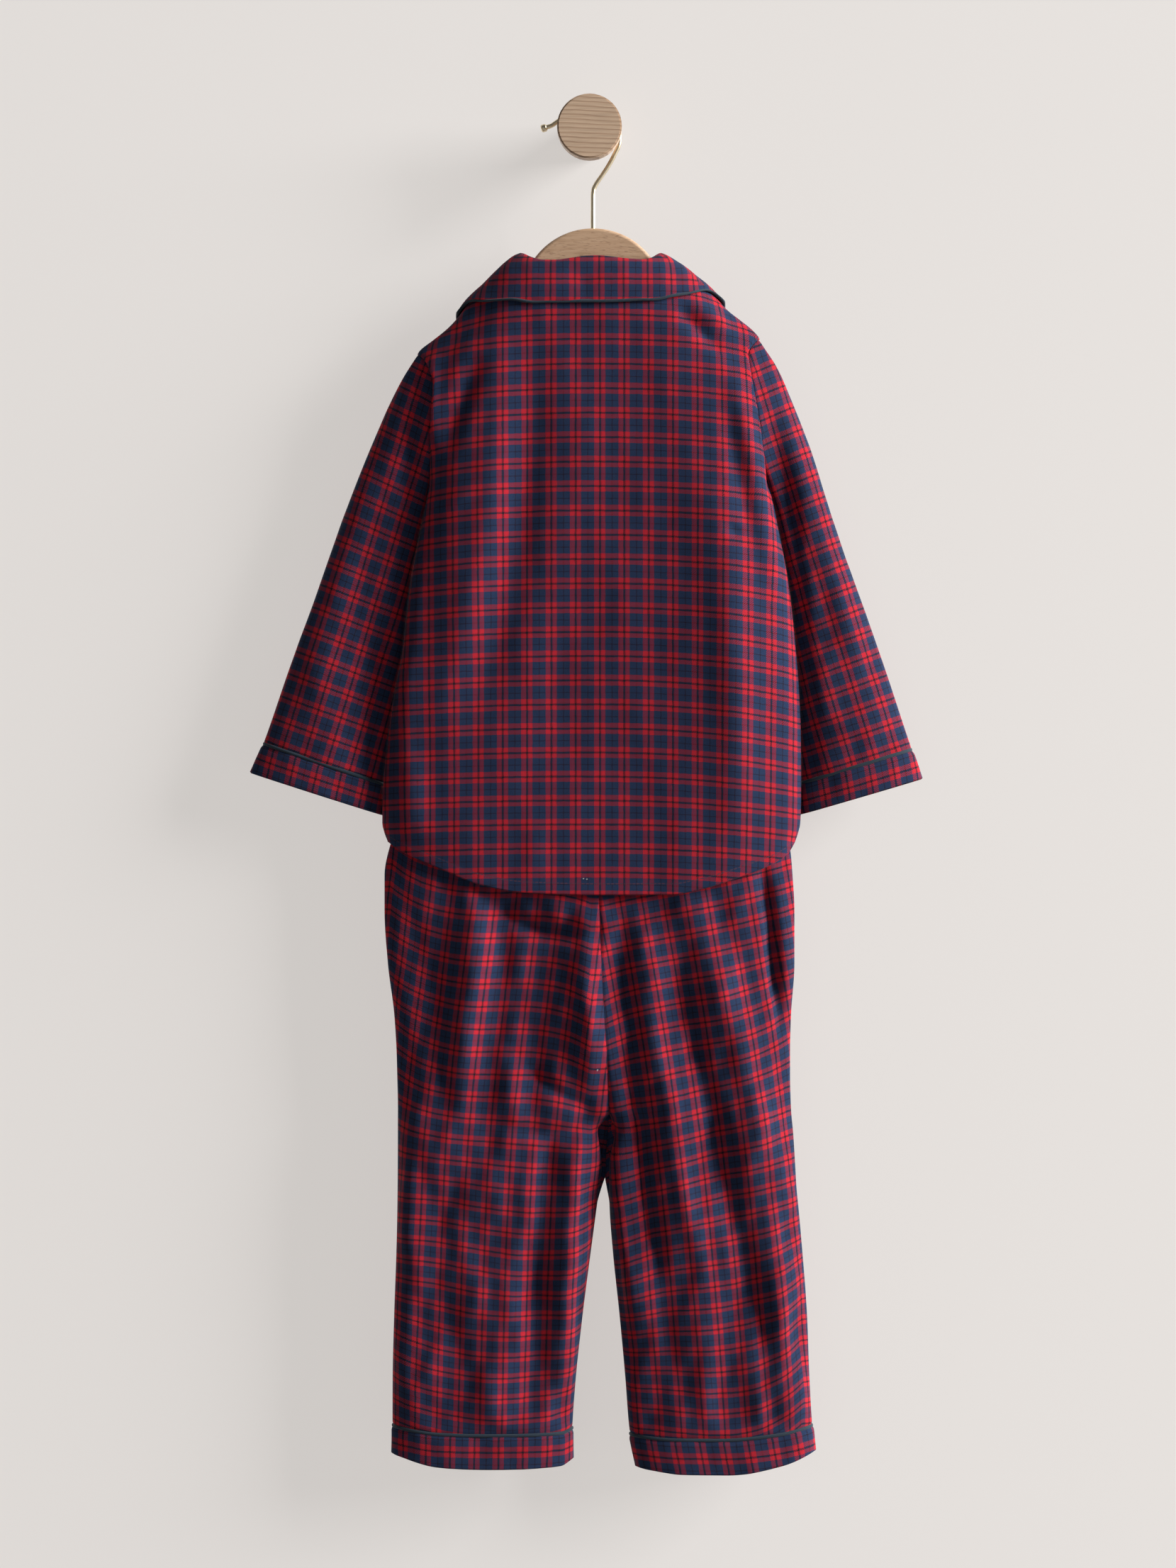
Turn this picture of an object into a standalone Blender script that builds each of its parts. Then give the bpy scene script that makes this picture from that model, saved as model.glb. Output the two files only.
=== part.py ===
"""A child's flannel pyjama set on a wooden hanger, hung by its hook on a round wall peg.

The frame: the origin is the centre of the peg's back face, which lies on the wall. +Y runs
into the wall, -Y out of it, +X to the right of someone who faces the wall, and +Z up. The
set hangs with its back to the room, so its buttoned fronts face the wall. Left and right
are the wearer's, so left is -X.

Every cloth piece is a wall of even thickness on a surface. The surface of the top is a
flat hollow form: across it the depth follows sqrt(1 - s^4), from one side seam to the
other, and near the shoulder seams it rounds over the hanger as a quarter of an ellipse.
The trousers use the same section, first across both hips and then across each leg.

Sizes are in millimetres, and the mesh builder turns them into metres.
"""

import math

import bmesh
import bpy
import numpy as np

MM = 0.001

# ---------------------------------------------------------------- driving sizes

WALL = 1.5             # thickness of a cloth wall
SEAM = 0.3             # gap between two pieces at a seam
BAND_SEAM = 0.45       # the same beside a piping or a band, whose walls tilt a little
MEETING = 0.5          # cloth this close to the middle plane is at a seam
HANG_Y = -38.0         # middle plane of the hanger and of the garments
PIPING_WIDTH = 2.8     # width of a piping along the cloth
PIPING_THICK = 2.2     # thickness of a piping, a little proud of the cloth

SHOULDER_ROUND = 60.0  # drop over which the shoulders round out to the full depth
BACK_DEPTH = 22.0      # how far the top's back stands out from the middle plane
FRONT_DEPTH = 20.0     # the same for the fronts

BUTTON_STAND = 12.0    # how far each front reaches past the middle
STAND_OFFSET = 1.2     # how far the two fronts part where they overlap
BUTTON_RADIUS = 5.5
BUTTON_THICK = 2.5
BUTTON_HEIGHTS = (-196.0, -284.0, -372.0, -460.0)

COLLAR_OFFSET = 2.8    # how far the collar's two leaves lie from the panel between them
COLLAR_STAND = 12.0    # depth of the leaf inside the neck

SLEEVE_CLEAR = 2.8     # from the body's side to the sleeve beside it
SLEEVE_BACK = 7.0      # how far the sleeves hang behind the middle plane
ARMHOLE_CLEAR = 1.9    # from the armhole's edge to the sleeve's first ring
CUFF = 23.0            # depth of the cuffs

WAIST_TOP = -495.0
WAIST_BAND = 22.0
SEAT_TOP = -690.0      # where the seat seam starts to turn under
CROTCH = -750.0
HEM_BAND = 23.5        # depth of the bands at the legs' hems
HEM_CURVE = 0.55       # share of a leg's hem curve that its piping line follows

PEG_DISC_RADIUS = 24.5
PEG_DISC_THICK = 14.0
PEG_STEM_RADIUS = 15.4
PEG_STEM_LENGTH = 52.0

WIRE_RADIUS = 1.75
HOOK_CENTRE = (0.3, -5.0)
HOOK_RADIUS = 22.6     # to the middle of the wire
HANGER_THICK = 10.0
HANGER_REACH = 121.0
HANGER_BEVEL = 2.0
DOME_CENTRE = (2.7, -129.0)
DOME_RADIUS = 55.0
ARM_DROP = 6.5         # from the shoulder seam down to the hanger's arm


def table(columns, rows):
    """A table with named columns, one row for each section."""
    return dict(zip(columns.split(), np.array(rows, float).T))


# The top's two sides, from the hem's corners up the side seams and the armholes to the
# shoulder tips. reach is how far the form goes on past the cut edge of the armhole.
SIDES = table("left_x left_z right_x right_z reach", [
    (-153.0, -541.0, 156.0, -541.0, 0.0),
    (-157.5, -527.0, 160.3, -527.0, 0.0),
    (-157.2, -507.0, 161.0, -507.0, 0.0),
    (-153.0, -463.0, 160.8, -463.0, 0.0),
    (-147.5, -425.0, 159.3, -425.0, 0.0),
    (-141.8, -397.0, 157.0, -397.0, 0.0),
    (-137.8, -361.0, 153.4, -361.0, 0.0),
    (-134.3, -336.0, 149.9, -336.0, 0.0),
    (-129.4, -311.0, 144.8, -310.0, 0.0),
    (-124.6, -286.0, 139.6, -284.0, 0.0),
    (-121.4, -266.0, 134.4, -264.0, 0.0),
    (-119.3, -240.0, 129.6, -240.0, 6.0),
    (-117.0, -218.0, 126.6, -217.0, 11.0),
    (-116.2, -194.0, 122.0, -188.0, 14.0),
    (-120.5, -181.0, 120.2, -171.0, 13.0),
    (-130.5, -169.5, 129.0, -157.5, 9.0),
])

# The shoulder seams, and between them the arch that they would make over the neck.
RIDGE = table("x z", [
    (-132.0, -170.5), (-128.0, -166.0), (-120.0, -160.0), (-107.0, -149.5), (-100.0, -142.0),
    (-92.0, -131.5), (-80.0, -119.5), (-69.0, -108.5), (-55.0, -97.0), (-30.0, -89.0),
    (2.0, -85.5), (34.0, -89.0), (56.0, -96.5), (74.0, -108.5), (88.0, -119.5),
    (98.0, -129.0), (105.0, -136.5), (114.0, -143.5), (124.0, -151.5), (130.5, -158.5),
])

# Cut edges of the top: the neck at the back, the neck of each front, and the two hems.
BACK_NECK = table("x z", [(-57.0, -98.5), (-36.0, -106.5), (2.0, -110.0), (38.0, -106.5),
                          (58.0, -98.0)])
FRONT_NECK = table("x z", [(-12.0, -181.0), (8.0, -178.0), (28.0, -168.0), (41.0, -148.0),
                           (54.0, -123.0), (62.0, -101.5)])
BACK_HEM = table("x z", [
    (-153.0, -541.0), (-145.0, -546.5), (-110.5, -562.0), (-83.0, -573.0), (-50.0, -579.0),
    (5.0, -580.8), (63.0, -580.5), (80.0, -577.5), (114.5, -567.0), (149.0, -551.0),
    (156.0, -541.0),
])
FRONT_HEM_LIFT = 10.0  # how much higher the fronts' hem is at its lowest
FRONT_HEM_CURVE = 0.02 # share of the back hem's curve that is left in the fronts' middle

# The sleeves' outer edges with the height of the inner edge beside the body, and half the
# depth of the tube. The last two rows are the piping's line and the cuff's edge.
SLEEVES = {
    "left": table("x z inner_z depth", [
        (-131.6, -170.8, -267.0, 11.0), (-143.6, -191.0, -275.0, 12.0),
        (-154.4, -213.0, -288.0, 13.0), (-168.3, -245.0, -310.0, 14.0),
        (-181.4, -278.0, -338.0, 14.0), (-197.0, -321.0, -375.0, 14.0),
        (-212.0, -364.0, -410.0, 14.0), (-228.0, -407.5, -446.0, 14.0),
        (-248.5, -466.5, -497.5, 14.0), (-258.2, -488.5, -520.5, 14.0),
    ]),
    "right": table("x z inner_z depth", [
        (130.4, -159.4, -265.0, 11.0), (143.0, -180.0, -273.0, 12.0),
        (157.2, -213.0, -286.0, 13.0), (169.3, -245.0, -310.0, 14.0),
        (179.6, -278.0, -338.0, 14.0), (193.8, -321.0, -375.0, 14.0),
        (209.3, -364.0, -410.0, 14.0), (224.5, -407.5, -446.0, 14.0),
        (245.6, -471.0, -496.5, 14.0), (253.6, -493.0, -520.0, 14.0),
    ]),
}

# The collar from its left front end round the back of the neck to its right front end. The
# fold and the edge are given by x and by the turn over the shoulder, in degrees: minus is
# the back, 0 the shoulder seam, and plus the front.
COLLAR = table("fold_x fold_turn edge_x edge_turn", [
    (-17.0, 97.0, -60.0, 98.0), (-28.0, 80.0, -79.0, 80.0), (-40.0, 55.0, -93.0, 57.0),
    (-49.0, 27.0, -100.0, 27.0), (-53.0, 0.0, -99.0, 0.0), (-48.0, -22.0, -91.0, -17.0),
    (-36.0, -36.0, -76.0, -45.0), (-18.0, -40.5, -40.0, -73.5), (3.0, -40.0, 3.0, -78.5),
    (24.0, -39.0, 45.0, -71.0), (41.0, -35.0, 76.0, -44.0), (51.0, -22.0, 91.0, -17.0),
    (55.0, 0.0, 101.0, 0.0), (51.0, 27.0, 102.0, 27.0), (42.0, 55.0, 95.0, 57.0),
    (30.0, 80.0, 81.0, 80.0), (19.0, 97.0, 62.0, 98.0),
])

# The trousers' edges from the waist down: the outer edges and the inner ones, which are the
# seat seam above the crotch.
TROUSERS = table("z left_outer left_inner right_inner right_outer depth", [
    (-495.0, -126.0, 4.0, 4.0, 128.0, 11.0), (-517.0, -131.0, 4.5, 4.5, 133.0, 12.0),
    (-532.0, -146.0, 5.2, 5.2, 147.0, 14.0), (-545.0, -152.0, 6.0, 6.0, 152.5, 15.0),
    (-567.0, -156.0, 6.8, 6.8, 154.6, 16.0), (-593.0, -156.0, 7.7, 7.7, 156.0, 16.5),
    (-634.0, -153.4, 9.0, 9.0, 156.0, 17.0), (-673.0, -148.5, 11.1, 11.1, 153.4, 17.5),
    (-700.0, -146.8, 12.8, 13.0, 152.6, 18.0), (-720.0, -146.2, 13.6, 14.6, 152.6, 18.0),
    (-738.0, -145.7, 14.2, 16.3, 153.0, 18.0),
    (-750.0, -145.6, 13.3, 17.4, 153.6, 18.0), (-760.0, -145.6, 6.2, 20.0, 154.6, 18.0),
    (-788.0, -145.7, 9.3, 15.2, 156.4, 17.5), (-805.0, -145.8, 7.3, 15.2, 157.4, 17.5),
    (-821.0, -146.0, 5.2, 15.6, 159.0, 17.0), (-855.0, -146.8, 0.6, 18.2, 162.0, 17.0),
    (-901.0, -148.4, -5.3, 23.0, 165.4, 16.5), (-953.0, -149.6, -10.9, 27.8, 167.4, 16.0),
    (-988.0, -149.7, -13.2, 30.6, 169.6, 16.0), (-1022.0, -150.0, -14.0, 36.8, 174.5, 16.0),
])

# The lower edge of each leg, by how far across the leg it is from the outer edge.
LEG_HEMS = {
    "left": table("across z", [(0.0, -1006.5), (0.27, -1015.5), (0.53, -1017.0),
                               (0.94, -1015.0), (1.0, -1010.5)]),
    "right": table("across z", [(0.0, -1004.5), (0.2, -1014.5), (0.5, -1021.2),
                                (0.75, -1020.8), (1.0, -1016.5)]),
}

MATERIALS = {
    "flannel": ((0.24, 0.04, 0.07), 0.95, 0.0),
    "piping": ((0.02, 0.035, 0.06), 0.85, 0.0),
    "button": ((0.03, 0.04, 0.07), 0.4, 0.0),
    "beech": ((0.46, 0.31, 0.19), 0.5, 0.0),
    "brass": ((0.72, 0.62, 0.45), 0.3, 1.0),
    "oak": ((0.55, 0.41, 0.28), 0.55, 0.0),
}


# ---------------------------------------------------------------- curves and walls

def smooth(at, knots, values):
    """Values on a cubic through the knots that doesn't overshoot them.

    The slope at a knot is the weighted harmonic mean of the chords on its two sides, or 0
    where they point different ways. Past the ends, the value stays.
    """
    order = np.argsort(knots)
    x, y = knots[order], values[order]
    step = np.diff(x)
    chord = np.diff(y) / step
    before, after = chord[:-1], chord[1:]
    one_way = before * after > 0
    near, far = 2 * step[1:] + step[:-1], step[1:] + 2 * step[:-1]
    safe_before, safe_after = np.where(one_way, before, 1.0), np.where(one_way, after, 1.0)
    mean = (near + far) / (near / safe_before + far / safe_after)
    slope = np.concatenate(([chord[0]], np.where(one_way, mean, 0.0), [chord[-1]]))
    at = np.clip(at, x[0], x[-1])
    i = np.clip(np.searchsorted(x, at) - 1, 0, len(step) - 1)
    f = (at - x[i]) / step[i]
    rest = 1 - f
    return (y[i] * (1 + 2 * f) * rest ** 2 + y[i + 1] * f ** 2 * (3 - 2 * f)
            + step[i] * f * rest * (slope[i] * rest - slope[i + 1] * f))


def ramp(value, start, end):
    """0 before start, 1 after end, and a smooth step between them."""
    f = np.clip((value - start) / (end - start), 0, 1)
    return f * f * (3 - 2 * f)


def rounded(s):
    """Depth across a flat hollow form: sqrt(1 - s^4), 1 in the middle and 0 at the sides."""
    return np.sqrt(np.clip(1 - s ** 4, 0, 1))


def stacked(x, y, z):
    """A grid of points from its three coordinates."""
    return np.stack(np.broadcast_arrays(x, y, z), axis=-1)


def grid_normals(grid, closed):
    """Unit normals of a grid of points, whose columns may close into a ring."""
    along = np.gradient(grid, axis=0)
    if closed:
        across = np.roll(grid, -1, axis=1) - np.roll(grid, 1, axis=1)
    else:
        across = np.gradient(grid, axis=1)
    normal = np.cross(along, across)
    return normal / np.linalg.norm(normal, axis=2, keepdims=True)


def add_object(name, vertices, faces, material):
    """A mesh object in metres, with its faces turned outwards."""
    points = np.asarray(vertices, float) * MM
    volume = sum(np.dot(points[f[0]], np.cross(points[f[i]], points[f[i + 1]]))
                 for f in faces for i in range(1, len(f) - 1))
    if volume < 0:
        faces = [tuple(reversed(f)) for f in faces]
    mesh = bpy.data.meshes.new(name)
    mesh.from_pydata(points.tolist(), [], faces)
    mesh.materials.append(bpy.data.materials[material])
    mesh.update()
    thing = bpy.data.objects.new(name, mesh)
    bpy.context.collection.objects.link(thing)
    return thing


def wall(name, grid, thickness=WALL, closed=False, material="flannel"):
    """A closed wall of even thickness on a grid of points, with flat rims at its edges.

    Where the cloth comes to the middle plane, at the side and shoulder seams, it stands
    square to it, so that two rims face each other across the seam.
    """
    rows, columns = grid.shape[:2]
    normal = grid_normals(grid, closed)
    normal[np.abs(grid[..., 1] - HANG_Y) < MEETING, 1] = 0
    shift = normal / np.linalg.norm(normal, axis=2, keepdims=True) * thickness / 2
    vertices = np.concatenate([(grid + shift).reshape(-1, 3), (grid - shift).reshape(-1, 3)])
    index = np.arange(rows * columns).reshape(rows, columns)
    under = index + rows * columns
    if closed:
        index = np.hstack([index, index[:, :1]])
        under = np.hstack([under, under[:, :1]])
    faces = quads(index) + quads(under[:, ::-1])
    faces += quads(np.stack([under[0], index[0]])) + quads(np.stack([index[-1], under[-1]]))
    if not closed:
        faces += quads(np.stack([index[:, 0], under[:, 0]]))
        faces += quads(np.stack([under[:, -1], index[:, -1]]))
    thing = add_object(name, vertices, faces, material)
    shade(thing)
    return thing


def quads(index):
    """The faces between neighbouring rows and columns of vertex numbers."""
    corners = [index[:-1, :-1], index[:-1, 1:], index[1:, 1:], index[1:, :-1]]
    return [tuple(int(i) for i in face) for face in np.stack(corners, axis=-1).reshape(-1, 4)]


def shade(thing, angle=40.0):
    """Smooth shading with sharp edges past an angle in degrees."""
    thing.data.shade_smooth()
    thing.data.set_sharp_from_angle(angle=math.radians(angle))


# ---------------------------------------------------------------- the form of the top

def ridge_height(x):
    """Height of the shoulder seam, or of the arch over the neck, at x."""
    return smooth(x, RIDGE["x"], RIDGE["z"])


def top_width_depth(x, z, full):
    """Depth of the top's form across its width: full in the middle and 0 at its sides."""
    left = smooth(z, SIDES["left_z"], SIDES["left_x"] - SIDES["reach"])
    right = smooth(z, SIDES["right_z"], SIDES["right_x"] + SIDES["reach"])
    return full * rounded(np.clip((2 * x - left - right) / (right - left), -1, 1))


def top_depth(x, z, full):
    """Distance of the top's cloth from the middle plane at x and z."""
    fall = np.clip((ridge_height(x) - z) / SHOULDER_ROUND, 0, 1)
    return top_width_depth(x, z, full) * np.sqrt(1 - (1 - fall) ** 2)


def overlap_shift(x, sign):
    """How far a front lies out of the form: the left front is on top where they overlap."""
    return -sign * STAND_OFFSET * ramp(-sign * x, -45.0, -18.0)


def over_shoulder(x, turn):
    """Points of the top by x and turn over the shoulder.

    z = ridge - round (1 - cos turn) and y = middle + depth sin turn, which is the same
    surface as top_depth gives, joined over the seam. Past a quarter turn it goes on down.
    """
    angle = np.radians(turn)
    over = np.clip(np.abs(angle) - np.pi / 2, 0, None)
    angle = np.clip(angle, -np.pi / 2, np.pi / 2)
    z = ridge_height(x) - SHOULDER_ROUND * (1 - np.cos(angle) + over)
    full = np.where(angle < 0, BACK_DEPTH, FRONT_DEPTH)
    shift = overlap_shift(x, np.sign(x)) * np.clip(np.sin(angle), 0, 1)
    return stacked(x, HANG_Y + top_width_depth(x, z, full) * np.sin(angle) + shift, z)


def patch(bottom, top, left, right, s, t):
    """A Coons patch: x and z inside four edges, from the edges' own points.

    It is the surface ruled from bottom to top plus the one ruled from left to right, less
    the one ruled between the four corners.
    """
    s, t = s[None, :, None], t[:, None, None]
    up = (1 - t) * bottom[None] + t * top[None]
    along = (1 - s) * left[:, None] + s * right[:, None]
    corners = ((1 - s) * (1 - t) * bottom[0] + s * (1 - t) * bottom[-1]
               + (1 - s) * t * top[0] + s * t * top[-1])
    return up + along - corners


def rows_from_top(height, count):
    """Fractions of the way up: rows close together where the shoulder rounds, then even."""
    near = SHOULDER_ROUND * (1 - np.cos(np.radians((0, 14, 28, 42, 58, 76))))
    far = np.linspace(near[-1], height, count + 1)[1:]
    return 1 - np.concatenate([near, far])[::-1] / height


def side_edge(side, t):
    """x and z of the top's left or right edge, t of the way from the hem to the shoulder."""
    column_x, column_z = SIDES[side + "_x"], SIDES[side + "_z"]
    z = column_z[0] + (column_z[-1] - column_z[0]) * t
    return np.stack([smooth(z, column_z, column_x), z], axis=-1)


def edge_line(x, *tables):
    """x and z along an edge that is cut from one or more tables joined end to end."""
    knots = np.concatenate([one["x"] for one in tables])
    heights = np.concatenate([one["z"] for one in tables])
    return np.stack([x, smooth(x, knots, heights)], axis=-1)


def part_of(source, low, high):
    """The rows of a table whose x lies from low to high."""
    keep = (source["x"] >= low) & (source["x"] <= high)
    return {key: column[keep] for key, column in source.items()}


def make_top_back():
    t = rows_from_top(440.0, 8)
    left, right = side_edge("left", t), side_edge("right", t)
    neck = (BACK_NECK["x"][[0, -1]] - left[-1, 0]) / (right[-1, 0] - left[-1, 0])
    side = 1 - np.cos(np.linspace(0, np.pi / 2, 8))
    middle = (1 - np.cos(np.linspace(0, np.pi, 10)[1:-1])) / 2
    s = np.concatenate([neck[0] * side, neck[0] + (neck[1] - neck[0]) * middle,
                        1 - (1 - neck[1]) * side[::-1]])
    x_top = left[-1, 0] + (right[-1, 0] - left[-1, 0]) * s
    x_hem = left[0, 0] + (right[0, 0] - left[0, 0]) * s
    top = edge_line(x_top, part_of(RIDGE, -200, -60), BACK_NECK, part_of(RIDGE, 60, 200))
    top[0], top[-1] = left[-1], right[-1]
    flat = patch(edge_line(x_hem, BACK_HEM), top, left, right, s, t)
    x, z = flat[..., 0], flat[..., 1]
    y = HANG_Y - SEAM / 2 - top_depth(x, z, BACK_DEPTH)
    return wall("top_back", stacked(x, y, z))


def make_front(side):
    """One front: from its side seam to the button stand just past the middle."""
    sign = -1 if side == "left" else 1
    t = rows_from_top(430.0, 8)
    outer = side_edge(side, t)
    neck_z = smooth(np.array([-BUTTON_STAND]), FRONT_NECK["x"], FRONT_NECK["z"])[0]
    hem_z = BACK_HEM["z"].min() + FRONT_HEM_LIFT
    inner = np.stack([np.full(len(t), -sign * BUTTON_STAND),
                      hem_z + (neck_z - hem_z) * t], axis=-1)
    neck = (sign * FRONT_NECK["x"][-1] - outer[-1, 0]) / (inner[-1, 0] - outer[-1, 0])
    s = np.concatenate([neck * (1 - np.cos(np.linspace(0, np.pi / 2, 8))),
                        neck + (1 - neck) * np.linspace(0, 1, 7)[1:] ** 1.5])
    x_top = outer[-1, 0] + (inner[-1, 0] - outer[-1, 0]) * s
    x_hem = outer[0, 0] + (inner[0, 0] - outer[0, 0]) * s
    ridge = part_of(RIDGE, *((-200, -60) if side == "left" else (60, 200)))
    neck = {"x": sign * FRONT_NECK["x"], "z": FRONT_NECK["z"]}
    top = edge_line(x_top, ridge, neck)
    top[0] = outer[-1]
    hem = edge_line(x_hem, BACK_HEM)
    hem[:, 1] = np.maximum(hem[:, 1], hem_z + (hem[:, 1] - hem_z) * FRONT_HEM_CURVE)
    flat = patch(hem, top, outer, inner, s, t)
    x, z = flat[..., 0], flat[..., 1]
    y = HANG_Y + SEAM / 2 + top_depth(x, z, FRONT_DEPTH) + overlap_shift(x, sign)
    return wall("front_" + side, stacked(x, y, z))


def make_collar():
    """The folded collar and its piping: a leaf inside the neck, a fold and a fall."""
    u = np.linspace(0, len(COLLAR["fold_x"]) - 1, 33)
    knots = np.arange(len(COLLAR["fold_x"]), dtype=float)
    fold_x, fold_turn, edge_x, edge_turn = (
        smooth(u, knots, COLLAR[name]) for name in ("fold_x", "fold_turn", "edge_x", "edge_turn"))
    fold = over_shoulder(fold_x, fold_turn)
    edge = over_shoulder(edge_x, edge_turn)
    fall = np.linalg.norm(edge - fold, axis=1)

    def on_form(along):
        """Points and outward normals of the form, along the way from the fold to the edge."""
        x = fold_x + (edge_x - fold_x) * along
        turn = fold_turn + (edge_turn - fold_turn) * along
        point = over_shoulder(x, turn)
        step_x = over_shoulder(x + 0.5, turn) - over_shoulder(x - 0.5, turn)
        step_turn = over_shoulder(x, turn + 0.5) - over_shoulder(x, turn - 0.5)
        normal = np.cross(step_x, step_turn)
        return point, normal / np.linalg.norm(normal, axis=-1, keepdims=True)

    leaves = []
    inner_end = COLLAR_STAND / fall
    for share in (1.0, 0.12):
        point, normal = on_form(inner_end * share)
        leaves.append(point - COLLAR_OFFSET * normal)
    point, normal = on_form(np.zeros(len(u)))
    away = fold - on_form(np.full(len(u), 0.1))[0]
    away /= np.linalg.norm(away, axis=-1, keepdims=True)
    for angle in (-50, 0, 50):
        turn = math.radians(angle)
        leaves.append(point + COLLAR_OFFSET * (math.sin(turn) * normal + math.cos(turn) * away))
    ends = 1 - (PIPING_WIDTH + 2 * BAND_SEAM) / fall
    for share in (0.06, 0.35, 0.68, 1.0):
        point, normal = on_form(ends * share)
        leaves.append(point + COLLAR_OFFSET * normal)
    wall("collar", np.stack(leaves))

    strip = []
    for start in (ends + 2 * BAND_SEAM / fall, np.ones(len(u))):
        point, normal = on_form(start)
        strip.append(point + COLLAR_OFFSET * normal)
    wall("collar_piping", np.stack(strip), PIPING_THICK, material="piping")


def make_buttons():
    for number, z in enumerate(BUTTON_HEIGHTS, 1):
        surface = HANG_Y + SEAM / 2 + STAND_OFFSET + WALL / 2
        surface += top_depth(np.array([0.0]), np.array([z]), FRONT_DEPTH)[0]
        round_piece("button_%d" % number, (0.0, z), BUTTON_RADIUS, surface + SEAM,
                    surface + SEAM + BUTTON_THICK, 16, 0.0, "button")


# ---------------------------------------------------------------- sleeves and cuffs

def sleeve_rings(side, rows, phi):
    """Rings of a sleeve: rows are places in its table, phi the turn round the tube.

    A ring is an oval from the outer edge (phi = 0) over the side away from the wall to the
    inner edge beside the body. The first ones are drawn to the armhole's own edge.
    """
    sizes = SLEEVES[side]
    sign = -1 if side == "left" else 1
    knots = np.arange(len(sizes["x"]), dtype=float)
    outer_x, outer_z, inner_z, depth = (
        smooth(rows, knots, sizes[name])[:, None] for name in ("x", "z", "inner_z", "depth"))

    def body_edge(z):
        return smooth(z, SIDES[side + "_z"], SIDES[side + "_x"])

    inner_x = body_edge(inner_z) + sign * SLEEVE_CLEAR
    behind = SLEEVE_BACK * ramp(rows, 0.0, 3.0)[:, None]
    cos, sin = np.cos(phi)[None, :], np.sin(phi)[None, :]
    x = (outer_x + inner_x) / 2 + (outer_x - inner_x) / 2 * cos
    z = (outer_z + inner_z) / 2 + (outer_z - inner_z) / 2 * cos
    y = HANG_Y + behind - depth * sin

    hole_z = z[:1]
    edge_x = body_edge(hole_z)
    hole_y = np.where(sin > 0, -top_depth(edge_x, hole_z, BACK_DEPTH),
                      top_depth(edge_x, hole_z, FRONT_DEPTH))
    fade = np.clip(1 - rows[:, None] / 3.0, 0, 1) ** 2
    x = x + fade * (edge_x + sign * ARMHOLE_CLEAR - x[:1])
    y = y + fade * (HANG_Y + hole_y - y[:1])
    return stacked(x, y, z)


def make_sleeve(side):
    phi = np.linspace(0, 2 * np.pi, 17)[:-1]
    last = len(SLEEVES[side]["x"]) - 1
    cuff_share = (PIPING_WIDTH / 2 + BAND_SEAM) / CUFF
    rows = np.concatenate([[0, 0.35, 0.9], np.linspace(1.6, last - 1 - cuff_share, 7)])
    wall("sleeve_" + side, sleeve_rings(side, rows, phi), closed=True)
    half = PIPING_WIDTH / 2 / CUFF
    rows = last - 1 + np.array([-half, half])
    wall("cuff_piping_" + side, sleeve_rings(side, rows, phi), PIPING_THICK, True, "piping")
    rows = last - 1 + np.array([cuff_share, 0.5, 1.0])
    wall("cuff_" + side, sleeve_rings(side, rows, phi), closed=True)


# ---------------------------------------------------------------- the trousers

def trouser_edges(side, z):
    """x of the outer and the inner edge of one leg at a height."""
    outer = smooth(z, TROUSERS["z"], TROUSERS[side + "_outer"])
    inner = smooth(z, TROUSERS["z"], TROUSERS[side + "_inner"])
    return outer, inner


def trouser_points(side, face, phi, z):
    """Points of one leg: phi runs from the outer edge to the inner edge over one face.

    Above SEAT_TOP the section goes across both hips, and at the crotch it goes across one
    leg. Between them the seat seam turns under as a quarter of an ellipse.
    """
    outer, inner = trouser_edges(side, z)
    across = (1 - np.cos(phi)) / 2
    x = outer + (inner - outer) * across
    far_left = smooth(z, TROUSERS["z"], TROUSERS["left_outer"])
    far_right = smooth(z, TROUSERS["z"], TROUSERS["right_outer"])
    hips = rounded(np.clip((2 * x - far_left - far_right) / (far_right - far_left), -1, 1))
    leg = np.abs(np.sin(phi)) * np.sqrt(1 + np.cos(phi) ** 2)
    turned = np.clip((SEAT_TOP - z) / (SEAT_TOP - CROTCH), 0, 1)
    as_hips = np.sqrt(1 - turned ** 2)
    depth = smooth(z, TROUSERS["z"], TROUSERS["depth"]) * (as_hips * hips + (1 - as_hips) * leg)
    return stacked(x, HANG_Y + face * (SEAM / 2 + depth), z)


def piping_line(side, across):
    """Height of the line where the hem band joins the leg."""
    hem = LEG_HEMS[side]
    curve = smooth(across, hem["across"], hem["z"])
    return curve * HEM_CURVE + hem["z"].mean() * (1 - HEM_CURVE) + HEM_BAND


def make_trouser_panel(side, part, face):
    """A back or a front panel of one leg, from under the waistband to the hem band."""
    phi = np.linspace(0, np.pi, 11)[None, :]
    top = WAIST_TOP - WAIST_BAND - BAND_SEAM
    bottom = piping_line(side, (1 - np.cos(phi)) / 2) + PIPING_WIDTH / 2 + BAND_SEAM
    t = np.concatenate([np.linspace(0, 0.4, 6)[:-1], np.linspace(0.4, 0.56, 6)[:-1],
                        np.linspace(0.56, 1.0, 5)])[:, None]
    points = trouser_points(side, face, phi, top + (bottom - top) * t)
    seam_side = 1 if side == "left" else -1
    points[..., 0] -= seam_side * SEAM / 2 * (1 - np.cos(phi)) / 2
    return wall("trouser_%s_%s" % (part, side), points)


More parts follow.
